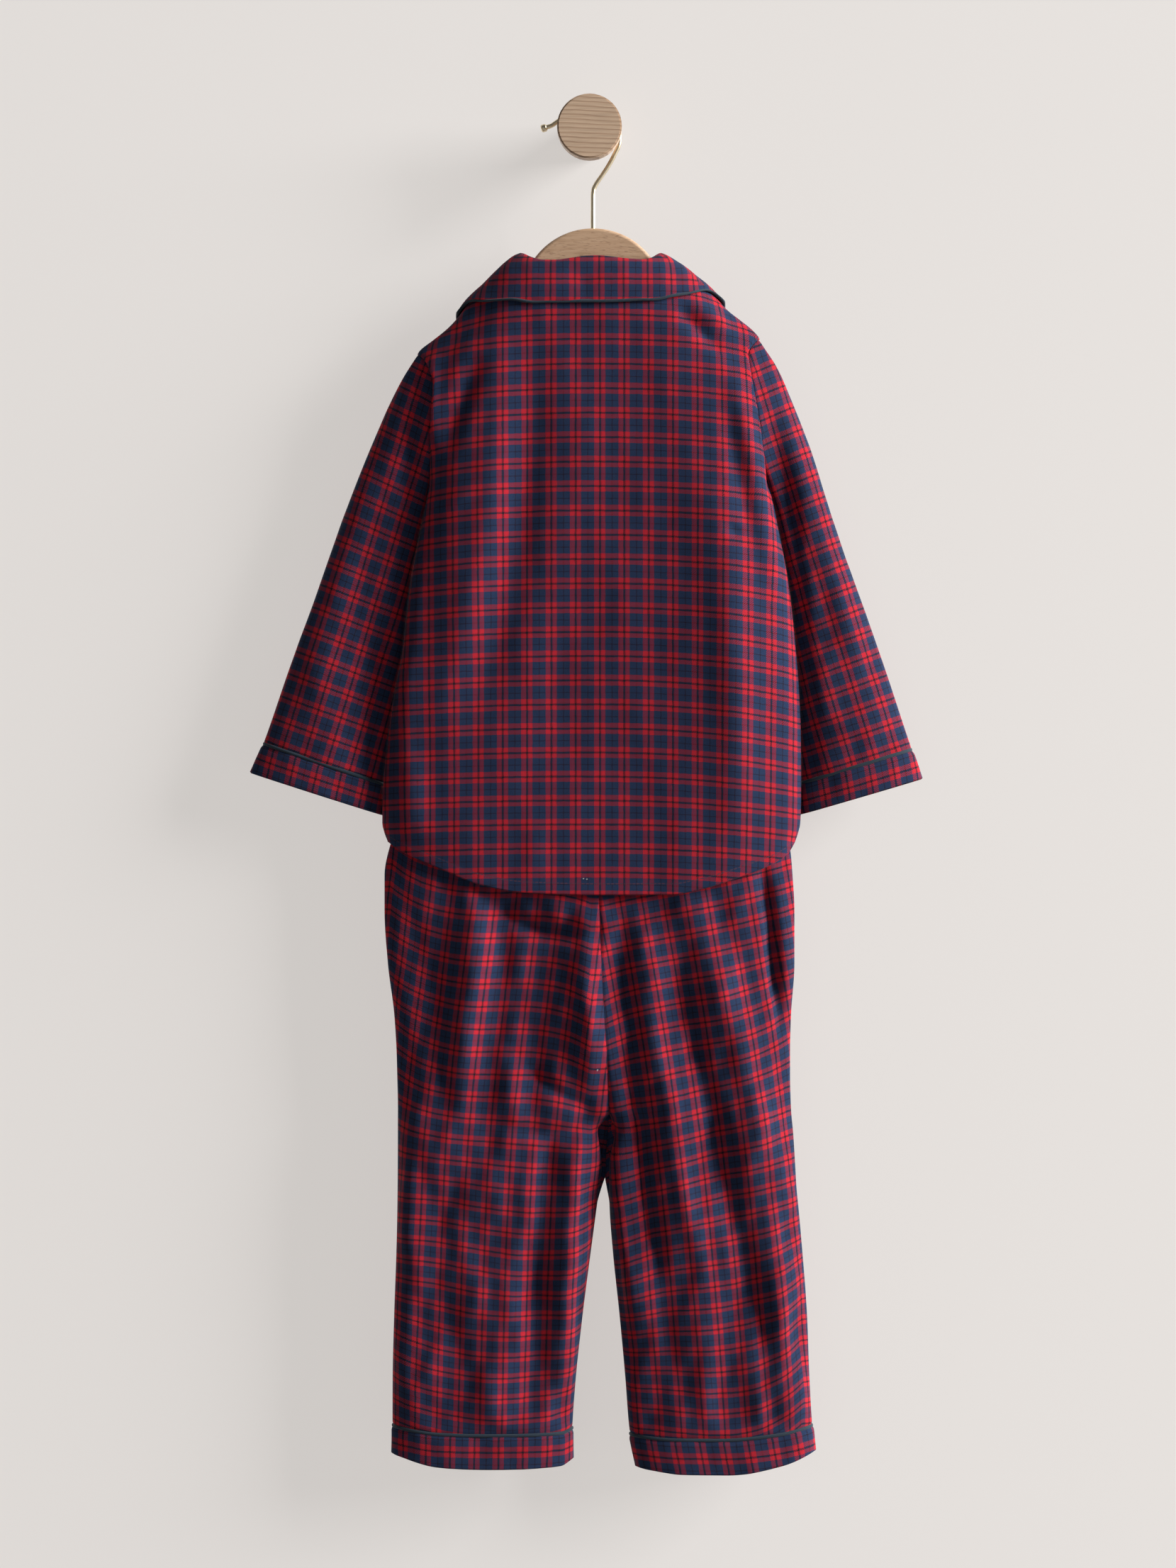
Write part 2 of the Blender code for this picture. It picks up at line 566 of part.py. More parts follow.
def leg_ring(side, phi, drops):
    """Rings round a leg, each some way below the piping's line."""
    across = (1 - np.cos(phi)) / 2
    line = piping_line(side, across)[None, :]
    hem = smooth(across, LEG_HEMS[side]["across"], LEG_HEMS[side]["z"])[None, :]
    share = np.asarray(drops)[:, None] / HEM_BAND
    z = line + (hem - line) * share
    outer, inner = trouser_edges(side, z)
    x = outer + (inner - outer) * across[None, :]
    depth = smooth(z, TROUSERS["z"], TROUSERS["depth"])
    y = HANG_Y - depth * np.sin(phi)[None, :] * np.sqrt(1 + np.cos(phi)[None, :] ** 2)
    return stacked(x, y, z)


def make_leg_hem(side):
    phi = np.linspace(0, 2 * np.pi, 21)[:-1]
    half = PIPING_WIDTH / 2
    wall("hem_piping_" + side, leg_ring(side, phi, (-half, half)), PIPING_THICK, True, "piping")
    wall("hem_band_" + side, leg_ring(side, phi, (half + BAND_SEAM, HEM_BAND / 2, HEM_BAND)),
         closed=True)


def make_waistband():
    phi = np.linspace(0, 2 * np.pi, 25)[:-1][None, :]
    z = WAIST_TOP - np.array([0.0, WAIST_BAND / 2, WAIST_BAND])[:, None]
    left = smooth(z, TROUSERS["z"], TROUSERS["left_outer"])
    right = smooth(z, TROUSERS["z"], TROUSERS["right_outer"])
    x = (left + right) / 2 + (right - left) / 2 * np.cos(phi)
    depth = smooth(z, TROUSERS["z"], TROUSERS["depth"])
    y = HANG_Y - depth * np.sin(phi) * np.sqrt(1 + np.cos(phi) ** 2)
    wall("waistband", stacked(x, y, z), closed=True)


# ---------------------------------------------------------------- hanger, hook and peg

def round_piece(name, centre, radius, y_start, y_end, sides, bevel, material):
    """A bevelled disc or rod whose axis runs along Y."""
    shape = bmesh.new()
    bmesh.ops.create_cone(shape, cap_ends=True, segments=sides, radius1=radius * MM,
                          radius2=radius * MM, depth=(y_end - y_start) * MM)
    rims = [edge for edge in shape.edges if abs(edge.verts[0].co.z - edge.verts[1].co.z) < 1e-6]
    if bevel:
        bmesh.ops.bevel(shape, geom=rims, offset=bevel * MM, segments=2, affect='EDGES')
    for vertex in shape.verts:
        x, y, z = vertex.co
        vertex.co = (x + centre[0] * MM, z + (y_start + y_end) / 2 * MM, -y + centre[1] * MM)
    mesh = bpy.data.meshes.new(name)
    shape.to_mesh(mesh)
    shape.free()
    mesh.materials.append(bpy.data.materials[material])
    thing = bpy.data.objects.new(name, mesh)
    bpy.context.collection.objects.link(thing)
    shade(thing)
    return thing


def make_hanger():
    """The hanger: a dome over two sloping arms, cut from a flat board."""
    x = np.concatenate([np.linspace(-HANGER_REACH, -46, 9),
                        DOME_CENTRE[0] + 44 * np.sin(np.linspace(-1.2, 1.2, 15)),
                        np.linspace(51, HANGER_REACH, 9)])
    height = np.sqrt(np.clip(DOME_RADIUS ** 2 - (x - DOME_CENTRE[0]) ** 2, 0, None))
    dome = np.where(height > 0, DOME_CENTRE[1] + height, -1000)
    arm = np.where(np.abs(x) > 44, ridge_height(x) - ARM_DROP, -1000)
    top = np.maximum(dome, arm)
    board = 38.0 - 20.0 * ramp(np.abs(x), 20.0, HANGER_REACH)
    base = np.where(np.abs(x) > 44, arm, ridge_height(x) - ARM_DROP) - board
    base = np.minimum(base, top - 14)
    end_drop = 6.0
    left_end = [(x[0] - 4, top[0] - end_drop), (x[0] - 4, base[0] + end_drop)]
    right_end = [(x[-1] + 4, base[-1] + end_drop), (x[-1] + 4, top[-1] - end_drop)]
    outline = (list(zip(x, base)) + right_end + list(zip(x, top))[::-1] + left_end)
    count = len(outline)
    half = HANGER_THICK / 2
    vertices = [(px, HANG_Y - half, pz) for px, pz in outline]
    vertices += [(px, HANG_Y + half, pz) for px, pz in outline]
    faces = [tuple(range(count)), tuple(range(2 * count - 1, count - 1, -1))]
    faces += [(i, i + count, (i + 1) % count + count, (i + 1) % count) for i in range(count)]
    thing = add_object("hanger_body", vertices, faces, "beech")
    bevel = thing.modifiers.new("edges", 'BEVEL')
    bevel.width = HANGER_BEVEL * MM
    bevel.segments = 1
    bevel.limit_method = 'ANGLE'
    bevel.angle_limit = math.radians(50)
    shade(thing)
    return thing


def hook_route():
    """The wire's middle line: up from the dome, round the peg's stem and out to its tip."""
    arc = np.radians(np.linspace(-12, 113, 14))
    over = np.stack([HOOK_CENTRE[0] + HOOK_RADIUS * np.cos(arc),
                     HOOK_CENTRE[1] + HOOK_RADIUS * np.sin(arc)], axis=-1)
    stem = [(2.7, DOME_CENTRE[1] + DOME_RADIUS + SEAM), (2.7, -62.0), (2.7, -50.0),
            (3.1, -44.5), (4.6, -40.8), (9.5, -33.5), (14.6, -25.8), (19.3, -17.0)]
    tip = [(-16.0, 12.8), (-21.8, 9.5), (-25.6, 6.9), (-29.1, 4.6), (-33.0, 3.3)]
    route = np.vstack([stem, over, tip])
    return stacked(route[:, 0], HANG_Y, route[:, 1])


def make_hook():
    """A round wire carried along its route, with flat ends, and the cap on its tip."""
    route = hook_route()
    ahead = np.gradient(route, axis=0)
    ahead /= np.linalg.norm(ahead, axis=1, keepdims=True)
    beside = np.array([0.0, 1.0, 0.0])
    up = np.cross(ahead, beside)
    turn = np.linspace(0, 2 * np.pi, 9)[:-1]
    rings = (route[:, None] + WIRE_RADIUS * (np.cos(turn)[None, :, None] * up[:, None]
                                             + np.sin(turn)[None, :, None] * beside))
    count = len(turn)
    index = np.arange(len(route) * count).reshape(len(route), count)
    index = np.hstack([index, index[:, :1]])
    faces = quads(index)
    faces += [tuple(int(i) for i in index[0, :-1][::-1]), tuple(int(i) for i in index[-1, :-1])]
    shade(add_object("hanger_hook", rings.reshape(-1, 3), faces, "brass"))
    make_hook_tip(route[-1], ahead[-1], up[-1])


def make_hook_tip(end, ahead, up, radius=3.0, length=4.2):
    """A small cap, wider than the wire, that closes the wire's end."""
    turn = np.linspace(0, 2 * np.pi, 13)[:-1]
    beside = np.array([0.0, 1.0, 0.0])
    profile = [(SEAM, 0.75), (SEAM + 0.7, 1.0), (length - 0.9, 1.0), (length, 0.7)]
    rings = [end + along * ahead + radius * share * (np.cos(turn)[:, None] * up
                                                     + np.sin(turn)[:, None] * beside)
             for along, share in profile]
    index = np.arange(len(profile) * len(turn)).reshape(len(profile), len(turn))
    closed = np.hstack([index, index[:, :1]])
    faces = quads(closed)
    faces += [tuple(int(i) for i in index[0][::-1]), tuple(int(i) for i in index[-1])]
    shade(add_object("hook_tip", np.vstack(rings), faces, "brass"))


def make_peg():
    disc_back = -PEG_STEM_LENGTH
    round_piece("peg_disc", (0.0, 0.0), PEG_DISC_RADIUS, disc_back - PEG_DISC_THICK, disc_back,
                40, 1.2, "oak")
    round_piece("peg_stem", (0.0, 0.0), PEG_STEM_RADIUS, disc_back + SEAM, 0.0, 32, 0.0, "oak")


# ---------------------------------------------------------------- build

def make_materials():
    for name, (colour, roughness, metallic) in MATERIALS.items():
        material = bpy.data.materials.new(name)
        material.use_nodes = True
        shader = material.node_tree.nodes["Principled BSDF"]
        shader.inputs["Base Color"].default_value = (*colour, 1.0)
        shader.inputs["Roughness"].default_value = roughness
        shader.inputs["Metallic"].default_value = metallic


def build():
    for thing in list(bpy.data.objects):
        bpy.data.objects.remove(thing, do_unlink=True)
    make_materials()
    make_peg()
    make_hook()
    make_hanger()
    make_top_back()
    make_collar()
    make_buttons()
    make_waistband()
    for side in ("left", "right"):
        make_front(side)
        make_sleeve(side)
        make_trouser_panel(side, "back", -1)
        make_trouser_panel(side, "front", 1)
        make_leg_hem(side)


build()
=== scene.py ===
# %% [markdown]
# # A child's flannel pyjama set on a wall peg
# A buttoned top and a pair of trousers hang back outwards on a wooden hanger. The packed
# solids fix where everything is, so this lesson starts by loading them as a frame, and then
# gives each piece its cloth, wood or wire.

# %% Load the frame
import math

import bpy
import numpy as np
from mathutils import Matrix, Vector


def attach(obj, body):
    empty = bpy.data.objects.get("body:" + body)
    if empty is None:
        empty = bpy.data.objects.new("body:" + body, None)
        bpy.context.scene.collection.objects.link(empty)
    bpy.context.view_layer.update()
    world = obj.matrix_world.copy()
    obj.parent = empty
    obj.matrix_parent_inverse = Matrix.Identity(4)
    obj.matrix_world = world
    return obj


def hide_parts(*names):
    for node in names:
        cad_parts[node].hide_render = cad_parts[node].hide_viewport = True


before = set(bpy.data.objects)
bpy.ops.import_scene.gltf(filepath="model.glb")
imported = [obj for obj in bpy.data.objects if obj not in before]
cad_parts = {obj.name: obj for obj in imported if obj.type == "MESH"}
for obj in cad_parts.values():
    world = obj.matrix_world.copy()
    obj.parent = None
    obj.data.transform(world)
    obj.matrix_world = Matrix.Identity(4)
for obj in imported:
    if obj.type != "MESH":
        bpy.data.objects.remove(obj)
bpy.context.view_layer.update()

MM = 0.001

# %% [markdown]
# ## Camera
# A garment on a wall is shown best from straight ahead with a long lens, so that its edges
# keep their true proportions. The lens follows from the distance and the height of wall
# that should fill the frame's long side.

# %% Camera straight ahead, three metres away
VIEW_CENTRE = (-1.1, -497.3)        # x and z in the middle of the picture
VIEW_HEIGHT = 1195.6                # height of wall in view, at the middle of the cloth
VIEW_DISTANCE = 3000.0
HANG_Y = -38.0                      # middle plane of the hanger and of the garments

scene = bpy.context.scene
camera = bpy.data.objects.new("camera", bpy.data.cameras.new("camera"))
camera.data.sensor_width = 36.0
camera.data.lens = 36.0 * VIEW_DISTANCE / VIEW_HEIGHT
camera.data.clip_end = 50.0
camera.location = (VIEW_CENTRE[0] * MM, (HANG_Y - VIEW_DISTANCE) * MM, VIEW_CENTRE[1] * MM)
camera.rotation_euler = (math.pi / 2, 0.0, 0.0)
scene.collection.objects.link(camera)
scene.camera = camera
scene.view_settings.view_transform = 'Standard'
print("lens: %.1f mm" % camera.data.lens)

# %% [markdown]
# ## Curves
# Every outline here is a short table of knots with a smooth curve through them. A cubic that
# never overshoots its knots is the safe choice, because a garment's edge that bulges between
# two measured points looks wrong at once.

# %% Tables and curves
def table(columns, rows):
    """A table with named columns, one row for each section."""
    return dict(zip(columns.split(), np.array(rows, float).T))


def smooth(at, knots, values):
    """Values on a cubic through the knots that doesn't overshoot them.

    The slope at a knot is the weighted harmonic mean of the chords on its two sides, or 0
    where they point different ways. Past the ends, the value stays.
    """
    order = np.argsort(knots)
    x, y = knots[order], values[order]
    step = np.diff(x)
    chord = np.diff(y) / step
    before, after = chord[:-1], chord[1:]
    one_way = before * after > 0
    near, far = 2 * step[1:] + step[:-1], step[1:] + 2 * step[:-1]
    safe_before, safe_after = np.where(one_way, before, 1.0), np.where(one_way, after, 1.0)
    mean = (near + far) / (near / safe_before + far / safe_after)
    slope = np.concatenate(([chord[0]], np.where(one_way, mean, 0.0), [chord[-1]]))
    at = np.clip(at, x[0], x[-1])
    i = np.clip(np.searchsorted(x, at) - 1, 0, len(step) - 1)
    f = (at - x[i]) / step[i]
    rest = 1 - f
    return (y[i] * (1 + 2 * f) * rest ** 2 + y[i + 1] * f ** 2 * (3 - 2 * f)
            + step[i] * f * rest * (slope[i] * rest - slope[i + 1] * f))


def ramp(value, start, end):
    """0 before start, 1 after end, and a smooth step between them."""
    f = np.clip((value - start) / (end - start), 0, 1)
    return f * f * (3 - 2 * f)


def rounded(s):
    """Depth across a flat hollow form: sqrt(1 - s^4), 1 in the middle and 0 at the sides."""
    return np.sqrt(np.clip(1 - s ** 4, 0, 1))


def stacked(x, y, z):
    """A grid of points from its three coordinates."""
    return np.stack(np.broadcast_arrays(x, y, z), axis=-1)


print("ramp half way:", float(ramp(0.5, 0, 1)))

# %% [markdown]
# ## From a grid of points to a mesh
# A cloth piece is a sheet with two faces and a rounded edge. The sheet's middle surface is
# worked out as one array of points, moved out by its folds, and copied half a thickness to
# each side. A row of points along the rim, pushed out a little, rounds the edge and closes
# the seam to the next piece.

# %% Mesh from arrays
def unit(vectors):
    """Vectors of length 1."""
    return vectors / np.maximum(np.linalg.norm(vectors, axis=-1, keepdims=True), 1e-12)


def make_mesh(name, points, groups, uv_groups=None, values=None):
    """A smooth mesh object from points in millimetres and arrays of faces, turned outwards.

    The signed volume, a sixth of a . (b x c) summed over the triangles, tells which way the
    faces point. uv_groups holds a place on the cloth for every face corner, in millimetres.
    """
    points = np.asarray(points, float) * MM
    volume = 0.0
    for group in groups:
        for i in range(1, group.shape[1] - 1):
            a, b, c = points[group[:, 0]], points[group[:, i]], points[group[:, i + 1]]
            volume += np.einsum("ij,ij->", a, np.cross(b, c))
    if volume < 0:
        groups = [group[:, ::-1] for group in groups]
        uv_groups = uv_groups and [corner[:, ::-1] for corner in uv_groups]
    corners = np.concatenate([group.reshape(-1) for group in groups])
    sizes = np.concatenate([np.full(len(group), group.shape[1]) for group in groups])
    mesh = bpy.data.meshes.new(name)
    mesh.vertices.add(len(points))
    mesh.vertices.foreach_set("co", points.ravel())
    mesh.loops.add(len(corners))
    mesh.loops.foreach_set("vertex_index", corners.astype(np.int32))
    mesh.polygons.add(len(sizes))
    mesh.polygons.foreach_set("loop_start", (np.cumsum(sizes) - sizes).astype(np.int32))
    mesh.update(calc_edges=True)
    mesh.validate()
    if uv_groups:
        layer = mesh.uv_layers.new(name="cloth")
        flat = np.concatenate([corner.reshape(-1, 2) for corner in uv_groups])
        layer.data.foreach_set("uv", (flat * MM).ravel())
    for key, array in (values or {}).items():
        mesh.attributes.new(key, 'FLOAT', 'POINT').data.foreach_set("value", array)
    mesh.shade_smooth()
    thing = bpy.data.objects.new(name, mesh)
    scene.collection.objects.link(thing)
    return thing


print("a vector (0, 3, 4) made a unit:", unit(np.array([0.0, 3.0, 4.0])).tolist())


# %% Grids of faces and points
def quads(index):
    """The faces between neighbours in a grid of vertex numbers, or of places on the cloth."""
    corners = [index[:-1, :-1], index[:-1, 1:], index[1:, 1:], index[1:, :-1]]
    whole = np.stack(corners, axis=2)
    return whole.reshape((-1,) + whole.shape[2:])


def joined(grid):
    """A tube's grid with its first column once more at the end."""
    return np.concatenate([grid, grid[:, :1]], axis=1)


def all_round(count):
    """The angles of a full turn in equal steps, without the last one, which is the first."""
    return np.linspace(0, 2 * np.pi, count + 1)[:-1]


def turned_mesh(name, rings):
    """A mesh from rings of points round an axis, with a cap on the first and on the last."""
    index = np.arange(rings.shape[0] * rings.shape[1]).reshape(rings.shape[:2])
    caps = np.stack([index[0][::-1], index[-1]])
    return make_mesh(name, rings.reshape(-1, 3), [quads(joined(index)), caps])


def grid_normals(grid, closed):
    """Unit normals of a grid of points, turned away from the middle plane of the garment."""
    along = np.gradient(grid, axis=0)
    if closed:
        across = np.roll(grid, -1, axis=1) - np.roll(grid, 1, axis=1)
    else:
        across = np.gradient(grid, axis=1)
    normal = unit(np.cross(along, across))
    middle = grid.reshape(-1, 3).mean(axis=0)
    if not closed:
        middle[1] = HANG_Y
    facing = np.einsum("ijk,ijk->", normal, grid - middle)
    return normal if facing > 0 else -normal


print("quads in a grid of 3 x 4 points:", len(quads(np.arange(12).reshape(3, 4))))

# %% Cloth shells
WALL = 1.5             # thickness of the cloth with its nap
RIM = 0.3              # how far the rounded rim stands past the edge, in thicknesses


def travelled(grid, axis, keep=(0, 1, 2)):
    """Distance along the rows (axis 1) or the columns (axis 0) of a grid, from the start."""
    step = np.linalg.norm(np.diff(grid[..., list(keep)], axis=axis), axis=-1)
    pad = [(0, 0), (0, 0)]
    pad[axis] = (1, 0)
    return np.cumsum(np.pad(step, pad), axis=axis)


def cloth_shell(name, middle, uv, relief=0.0, thickness=WALL, closed=False, hem=None):
    """A closed sheet: the middle surface moved by relief along its normal and thickened.

    On a tube, the last column joins the first, and uv has one column more than the points,
    so that the pattern runs on round the tube to its seam. hem is each point's distance
    from a stitched edge.
    """
    rows, columns = middle.shape[:2]
    relief = np.broadcast_to(np.asarray(relief, float), (rows, columns))
    surface = middle + grid_normals(middle, closed) * relief[..., None]
    normal = grid_normals(surface, closed)
    half = np.broadcast_to(np.asarray(thickness, float) / 2, (rows, columns))[..., None]
    away = np.zeros_like(surface)
    away[0] += unit(surface[0] - surface[1])
    away[-1] += unit(surface[-1] - surface[-2])
    index = np.arange(rows * columns).reshape(rows, columns)
    if closed:
        wide = joined(index)
        loops = [(wide[0], uv[0]), (wide[-1][::-1], uv[-1][::-1])]
    else:
        away[:, 0] += unit(surface[:, 0] - surface[:, 1])
        away[:, -1] += unit(surface[:, -1] - surface[:, -2])
        wide = index
        ring = np.concatenate([index[0, :-1], index[:-1, -1], index[-1, :0:-1], index[::-1, 0]])
        loops = [(ring, uv.reshape(-1, 2)[ring])]
    rim = (surface + unit(away) * 2 * half * RIM).reshape(-1, 3)
    points = [(surface + normal * half).reshape(-1, 3), (surface - normal * half).reshape(-1, 3)]
    count = rows * columns
    groups, uv_groups = [quads(wide), quads(wide + count)[:, ::-1]], [quads(uv), quads(uv)[:, ::-1]]
    sources, total = [index.ravel(), index.ravel()], 2 * count
    for ring, ring_uv in loops:
        number = len(ring) - 1
        own = np.append(np.arange(total, total + number), total)
        for outer, inner in ((ring, own), (own, ring + count)):
            groups.append(quads(np.stack([inner, outer])))
            uv_groups.append(quads(np.stack([ring_uv, ring_uv])))
        points.append(rim[ring[:-1]])
        sources.append(ring[:-1])
        total += number
    values = None
    if hem is not None:
        values = {"hem": (hem.ravel()[np.concatenate(sources)] * MM).astype(np.float32)}
    return make_mesh(name, np.concatenate(points), groups, uv_groups, values)


print("cloth: %.1f mm thick" % WALL)


# %% What a piece was cut to, and what it stands for
def cut_of(grid, closed):
    """What a piece was cut to: its longest row and column and its area, in metres."""
    if closed:
        grid = joined(grid)
    across, along = travelled(grid, 1)[:, -1].max(), travelled(grid, 0)[-1].max()
    a, b, c, d = grid[:-1, :-1], grid[:-1, 1:], grid[1:, 1:], grid[1:, :-1]
    area = np.linalg.norm(np.cross(c - a, d - b), axis=-1).sum() / 2
    return round(across * MM, 4), round(along * MM, 4), round(area * MM * MM, 5)


def finish_piece(thing, node, material):
    """Gives a piece its material and body. It takes its CAD node's place, where it has one."""
    thing.data.materials.append(material)
    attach(thing, "root")
    if node:
        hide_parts(node)
    return thing


cuts = {}              # filled in as the sheets are made
square = stacked(*np.meshgrid([0.0, 100.0], [0.0, 100.0]), 0.0)
print("a square of 100 mm is cut to", cut_of(square, False))


# %% [markdown]
# ## The check and its weave
# The cloth is a 2/2 twill woven in a small check. Both the warp and the weft repeat 46
# threads: a pair of red stripes with a dark line between them, then a pair of navy ones. A
# thread is 0.4 mm wide, and warp lies on top where (i + j) mod 4 is under 2, which draws the
# twill's diagonal. The pattern reads the piece's own places on the cloth, so it bends with
# the drape. Brushing lifts a short nap, which pales the colour a little and softens it.

# %% Node helpers
THREAD = 0.0004                    # one thread's width, in metres as the shader reads it
REPEAT_THREADS = 46
REPEAT = REPEAT_THREADS * THREAD / MM
PAIR = 10 * THREAD / MM            # from the repeat's start to the middle of the red pair


class Nodes:
    """A short way to add shader nodes: each call makes one and links or sets its inputs."""

    def __init__(self, name):
        self.material = bpy.data.materials.new(name)
        self.material.use_nodes = True
        self.tree = self.material.node_tree
        self.shader = self.tree.nodes["Principled BSDF"]

    def add(self, kind, inputs=(), **settings):
        node = self.tree.nodes.new(kind)
        for key, value in settings.items():
            setattr(node, key, value)
        for slot, value in dict(inputs).items():
            self.put(node.inputs[slot], value)
        return node

    def put(self, socket, value):
        if isinstance(value, bpy.types.NodeSocket):
            self.tree.links.new(value, socket)
        else:
            socket.default_value = value

    def math(self, operation, a, b=0.0, clamp=False):
        return self.add("ShaderNodeMath", {0: a, 1: b}, operation=operation,
                        use_clamp=clamp).outputs[0]

    def mix(self, factor, a, b, blend='MIX'):
        node = self.add("ShaderNodeMix", data_type='RGBA', blend_type=blend)
        self.put(node.inputs[0], factor)
        self.put(node.inputs[6], a)
        self.put(node.inputs[7], b)
        return node.outputs[2]

    def noise(self, vector, scale, detail=2.0, roughness=0.5):
        return self.add("ShaderNodeTexNoise", {"Vector": vector, "Scale": scale, "Detail": detail,
                                               "Roughness": roughness}).outputs[0]

    def noise_colour(self, vector, scale):
        return self.add("ShaderNodeTexNoise", {"Vector": vector, "Scale": scale,
                                               "Detail": 2.0}).outputs["Color"]

    def object_place(self):
        return self.add("ShaderNodeTexCoord").outputs["Object"]

    def cloth_place(self):
        return self.add("ShaderNodeUVMap", uv_map="cloth").outputs[0]

    def stretched(self, vector, *scale, **inputs):
        return self.add("ShaderNodeMapping", {"Vector": vector, "Scale": scale,
                                              **inputs}).outputs[0]

    def spread(self, value, low, high, new_low=0.0, new_high=1.0):
        return self.add("ShaderNodeMapRange",
                        {0: value, 1: low, 2: high, 3: new_low, 4: new_high}).outputs[0]

    def shaded(self, colour, level):
        grey = self.add("ShaderNodeCombineColor", {0: level, 1: level, 2: level}).outputs[0]
        return self.mix(1.0, colour, grey, 'MULTIPLY')

    def bump(self, height, strength, distance):
        return self.add("ShaderNodeBump", {"Strength": strength, "Distance": distance,
                                           "Height": height}).outputs[0]

    def ramp(self, value, stops, steps=False):
        node = self.add("ShaderNodeValToRGB", {0: value})
        node.color_ramp.interpolation = 'CONSTANT' if steps else 'LINEAR'
        elements = node.color_ramp.elements
        while len(elements) > 1:
            elements.remove(elements[-1])
        for number, (place, colour) in enumerate(stops):
            element = elements[0] if number == 0 else elements.new(place)
            element.position = place
            element.color = (*colour, 1.0)
        return node.outputs[0]

    def finish(self, roughness, **sockets):
        self.put(self.shader.inputs["Roughness"], roughness)
        for key, value in sockets.items():
            self.put(self.shader.inputs[key.replace("_", " ")], value)
        return self.material


print("repeat: %.1f mm" % REPEAT)

# %% Checked flannel
RED, NAVY, DARK = (0.385, 0.0115, 0.0205), (0.0115, 0.0245, 0.063), (0.011, 0.006, 0.012)
WARP_RED = (0.355, 0.012, 0.026)     # the warp lies a little deeper and looks bluer


HEM_STITCH = 8.0                     # from a hem's edge to its row of stitches


def stripes(red):
    """The repeat's stops on a ramp: the thread where each colour starts, as a share of it."""
    starts = [(0, red), (8, DARK), (12, red), (20, NAVY), (32, DARK), (34, NAVY)]
    return [((start + 0.05) / REPEAT_THREADS if start else 0.0, colour)
            for start, colour in starts]


def warp_and_weft(n, u, v):
    """The two threads' colours at u and v, in threads, and where the warp lies on top."""
    i, j = n.math('FLOOR', u), n.math('FLOOR', v)
    count = float(REPEAT_THREADS)
    warp, weft = (n.ramp(n.math('DIVIDE', n.math('FLOORED_MODULO', number, count), count),
                         stripes(red), steps=True) for number, red in ((i, WARP_RED), (j, RED)))
    twill = n.math('FLOORED_MODULO', n.math('ADD', i, j), 4.0)
    return warp, weft, n.math('LESS_THAN', twill, 1.5)


def stitches(n, across):
    """1 on the dashes of a hem's row of stitches, from each point's distance to the hem."""
    hem = n.add("ShaderNodeAttribute", attribute_name="hem").outputs["Fac"]
    off_line = n.math('ABSOLUTE', n.math('SUBTRACT', hem, HEM_STITCH * MM))
    on_line = n.math('LESS_THAN', off_line, THREAD)
    dash = n.math('LESS_THAN', n.math('FLOORED_MODULO', across, 0.0032), 0.0023)
    return n.math('MULTIPLY', on_line, dash)


def make_flannel():
    n = Nodes("checked flannel")
    place = n.cloth_place()
    # the threads wander by up to half a millimetre
    wander = n.noise_colour(place, 260.0)
    shift = n.add("ShaderNodeVectorMath", {0: wander, 1: (-0.5, -0.5, -0.5)}, operation='ADD')
    shift = n.add("ShaderNodeVectorMath", {0: shift.outputs[0], "Scale": 0.0009},
                  operation='SCALE')
    moved = n.add("ShaderNodeVectorMath", {0: place, 1: shift.outputs[0]}, operation='ADD')
    split = n.add("ShaderNodeSeparateXYZ", {0: moved.outputs[0]})
    u, v = (n.math('MULTIPLY', split.outputs[axis], 1 / THREAD) for axis in (0, 1))
    warp, weft, on_top = warp_and_weft(n, u, v)
    colour = n.mix(on_top, weft, warp)
    # brushing blends the two threads' colours, and the blend is darker than their plain average:
    # painted shade from the threads' relief
    both = n.add("ShaderNodeGamma", {0: n.mix(1.0, warp, weft, 'MULTIPLY'), 1: 0.5}).outputs[0]
    colour = n.mix(0.5, colour, both)
    # painted highlight and shade: each thread is painted paler along its crown and darker at its
    # edges, where it dips under the next one
    crown = n.mix(on_top, n.math('PINGPONG', v, 0.5), n.math('PINGPONG', u, 0.5))
    crown = n.math('MULTIPLY', crown, 2.0)
    colour = n.shaded(colour, n.spread(crown, 0.0, 1.0, 0.80, 1.06))
    # dye and yarn vary from spot to spot, and the nap pales it
    spots, cloudy = n.noise(place, 900.0, 3.0, 0.6), n.noise(place, 35.0, 3.0)
    level = n.math('ADD', n.math('MULTIPLY', spots, 0.55), n.math('MULTIPLY', cloudy, 0.25))
    colour = n.shaded(colour, n.math('ADD', level, 0.60))
    fuzz = n.spread(n.noise(place, 2600.0, 2.0, 0.7), 0.5, 0.9, 0.0, 0.09)
    colour = n.mix(fuzz, colour, (0.34, 0.28, 0.32, 1.0))
    stitch = stitches(n, split.outputs[0])
    colour = n.mix(stitch, colour, (0.06, 0.03, 0.05, 1.0))
    height = n.math('ADD', n.math('MULTIPLY', crown, 0.5), n.math('MULTIPLY', fuzz, 4.0))
    height = n.math('SUBTRACT', height, n.math('MULTIPLY', stitch, 0.8))
    return n.finish(0.92, Base_Color=colour, Normal=n.bump(height, 0.5, 0.00018),
                    Sheen_Weight=0.06, Sheen_Roughness=0.45, Sheen_Tint=(0.8, 0.7, 0.75, 1.0),
                    Specular_IOR_Level=0.10)


flannel = make_flannel()
print("nodes in the flannel:", len(flannel.node_tree.nodes))

# %% [markdown]
# ## The outlines
# These tables repeat the outlines that the solids were made from, in millimetres from the
# centre of the peg's back: the top's side seams and armholes, its shoulder seams, its neck
# and hems, the sleeves, the collar, and the trousers. Left is the wearer's left, at minus x.

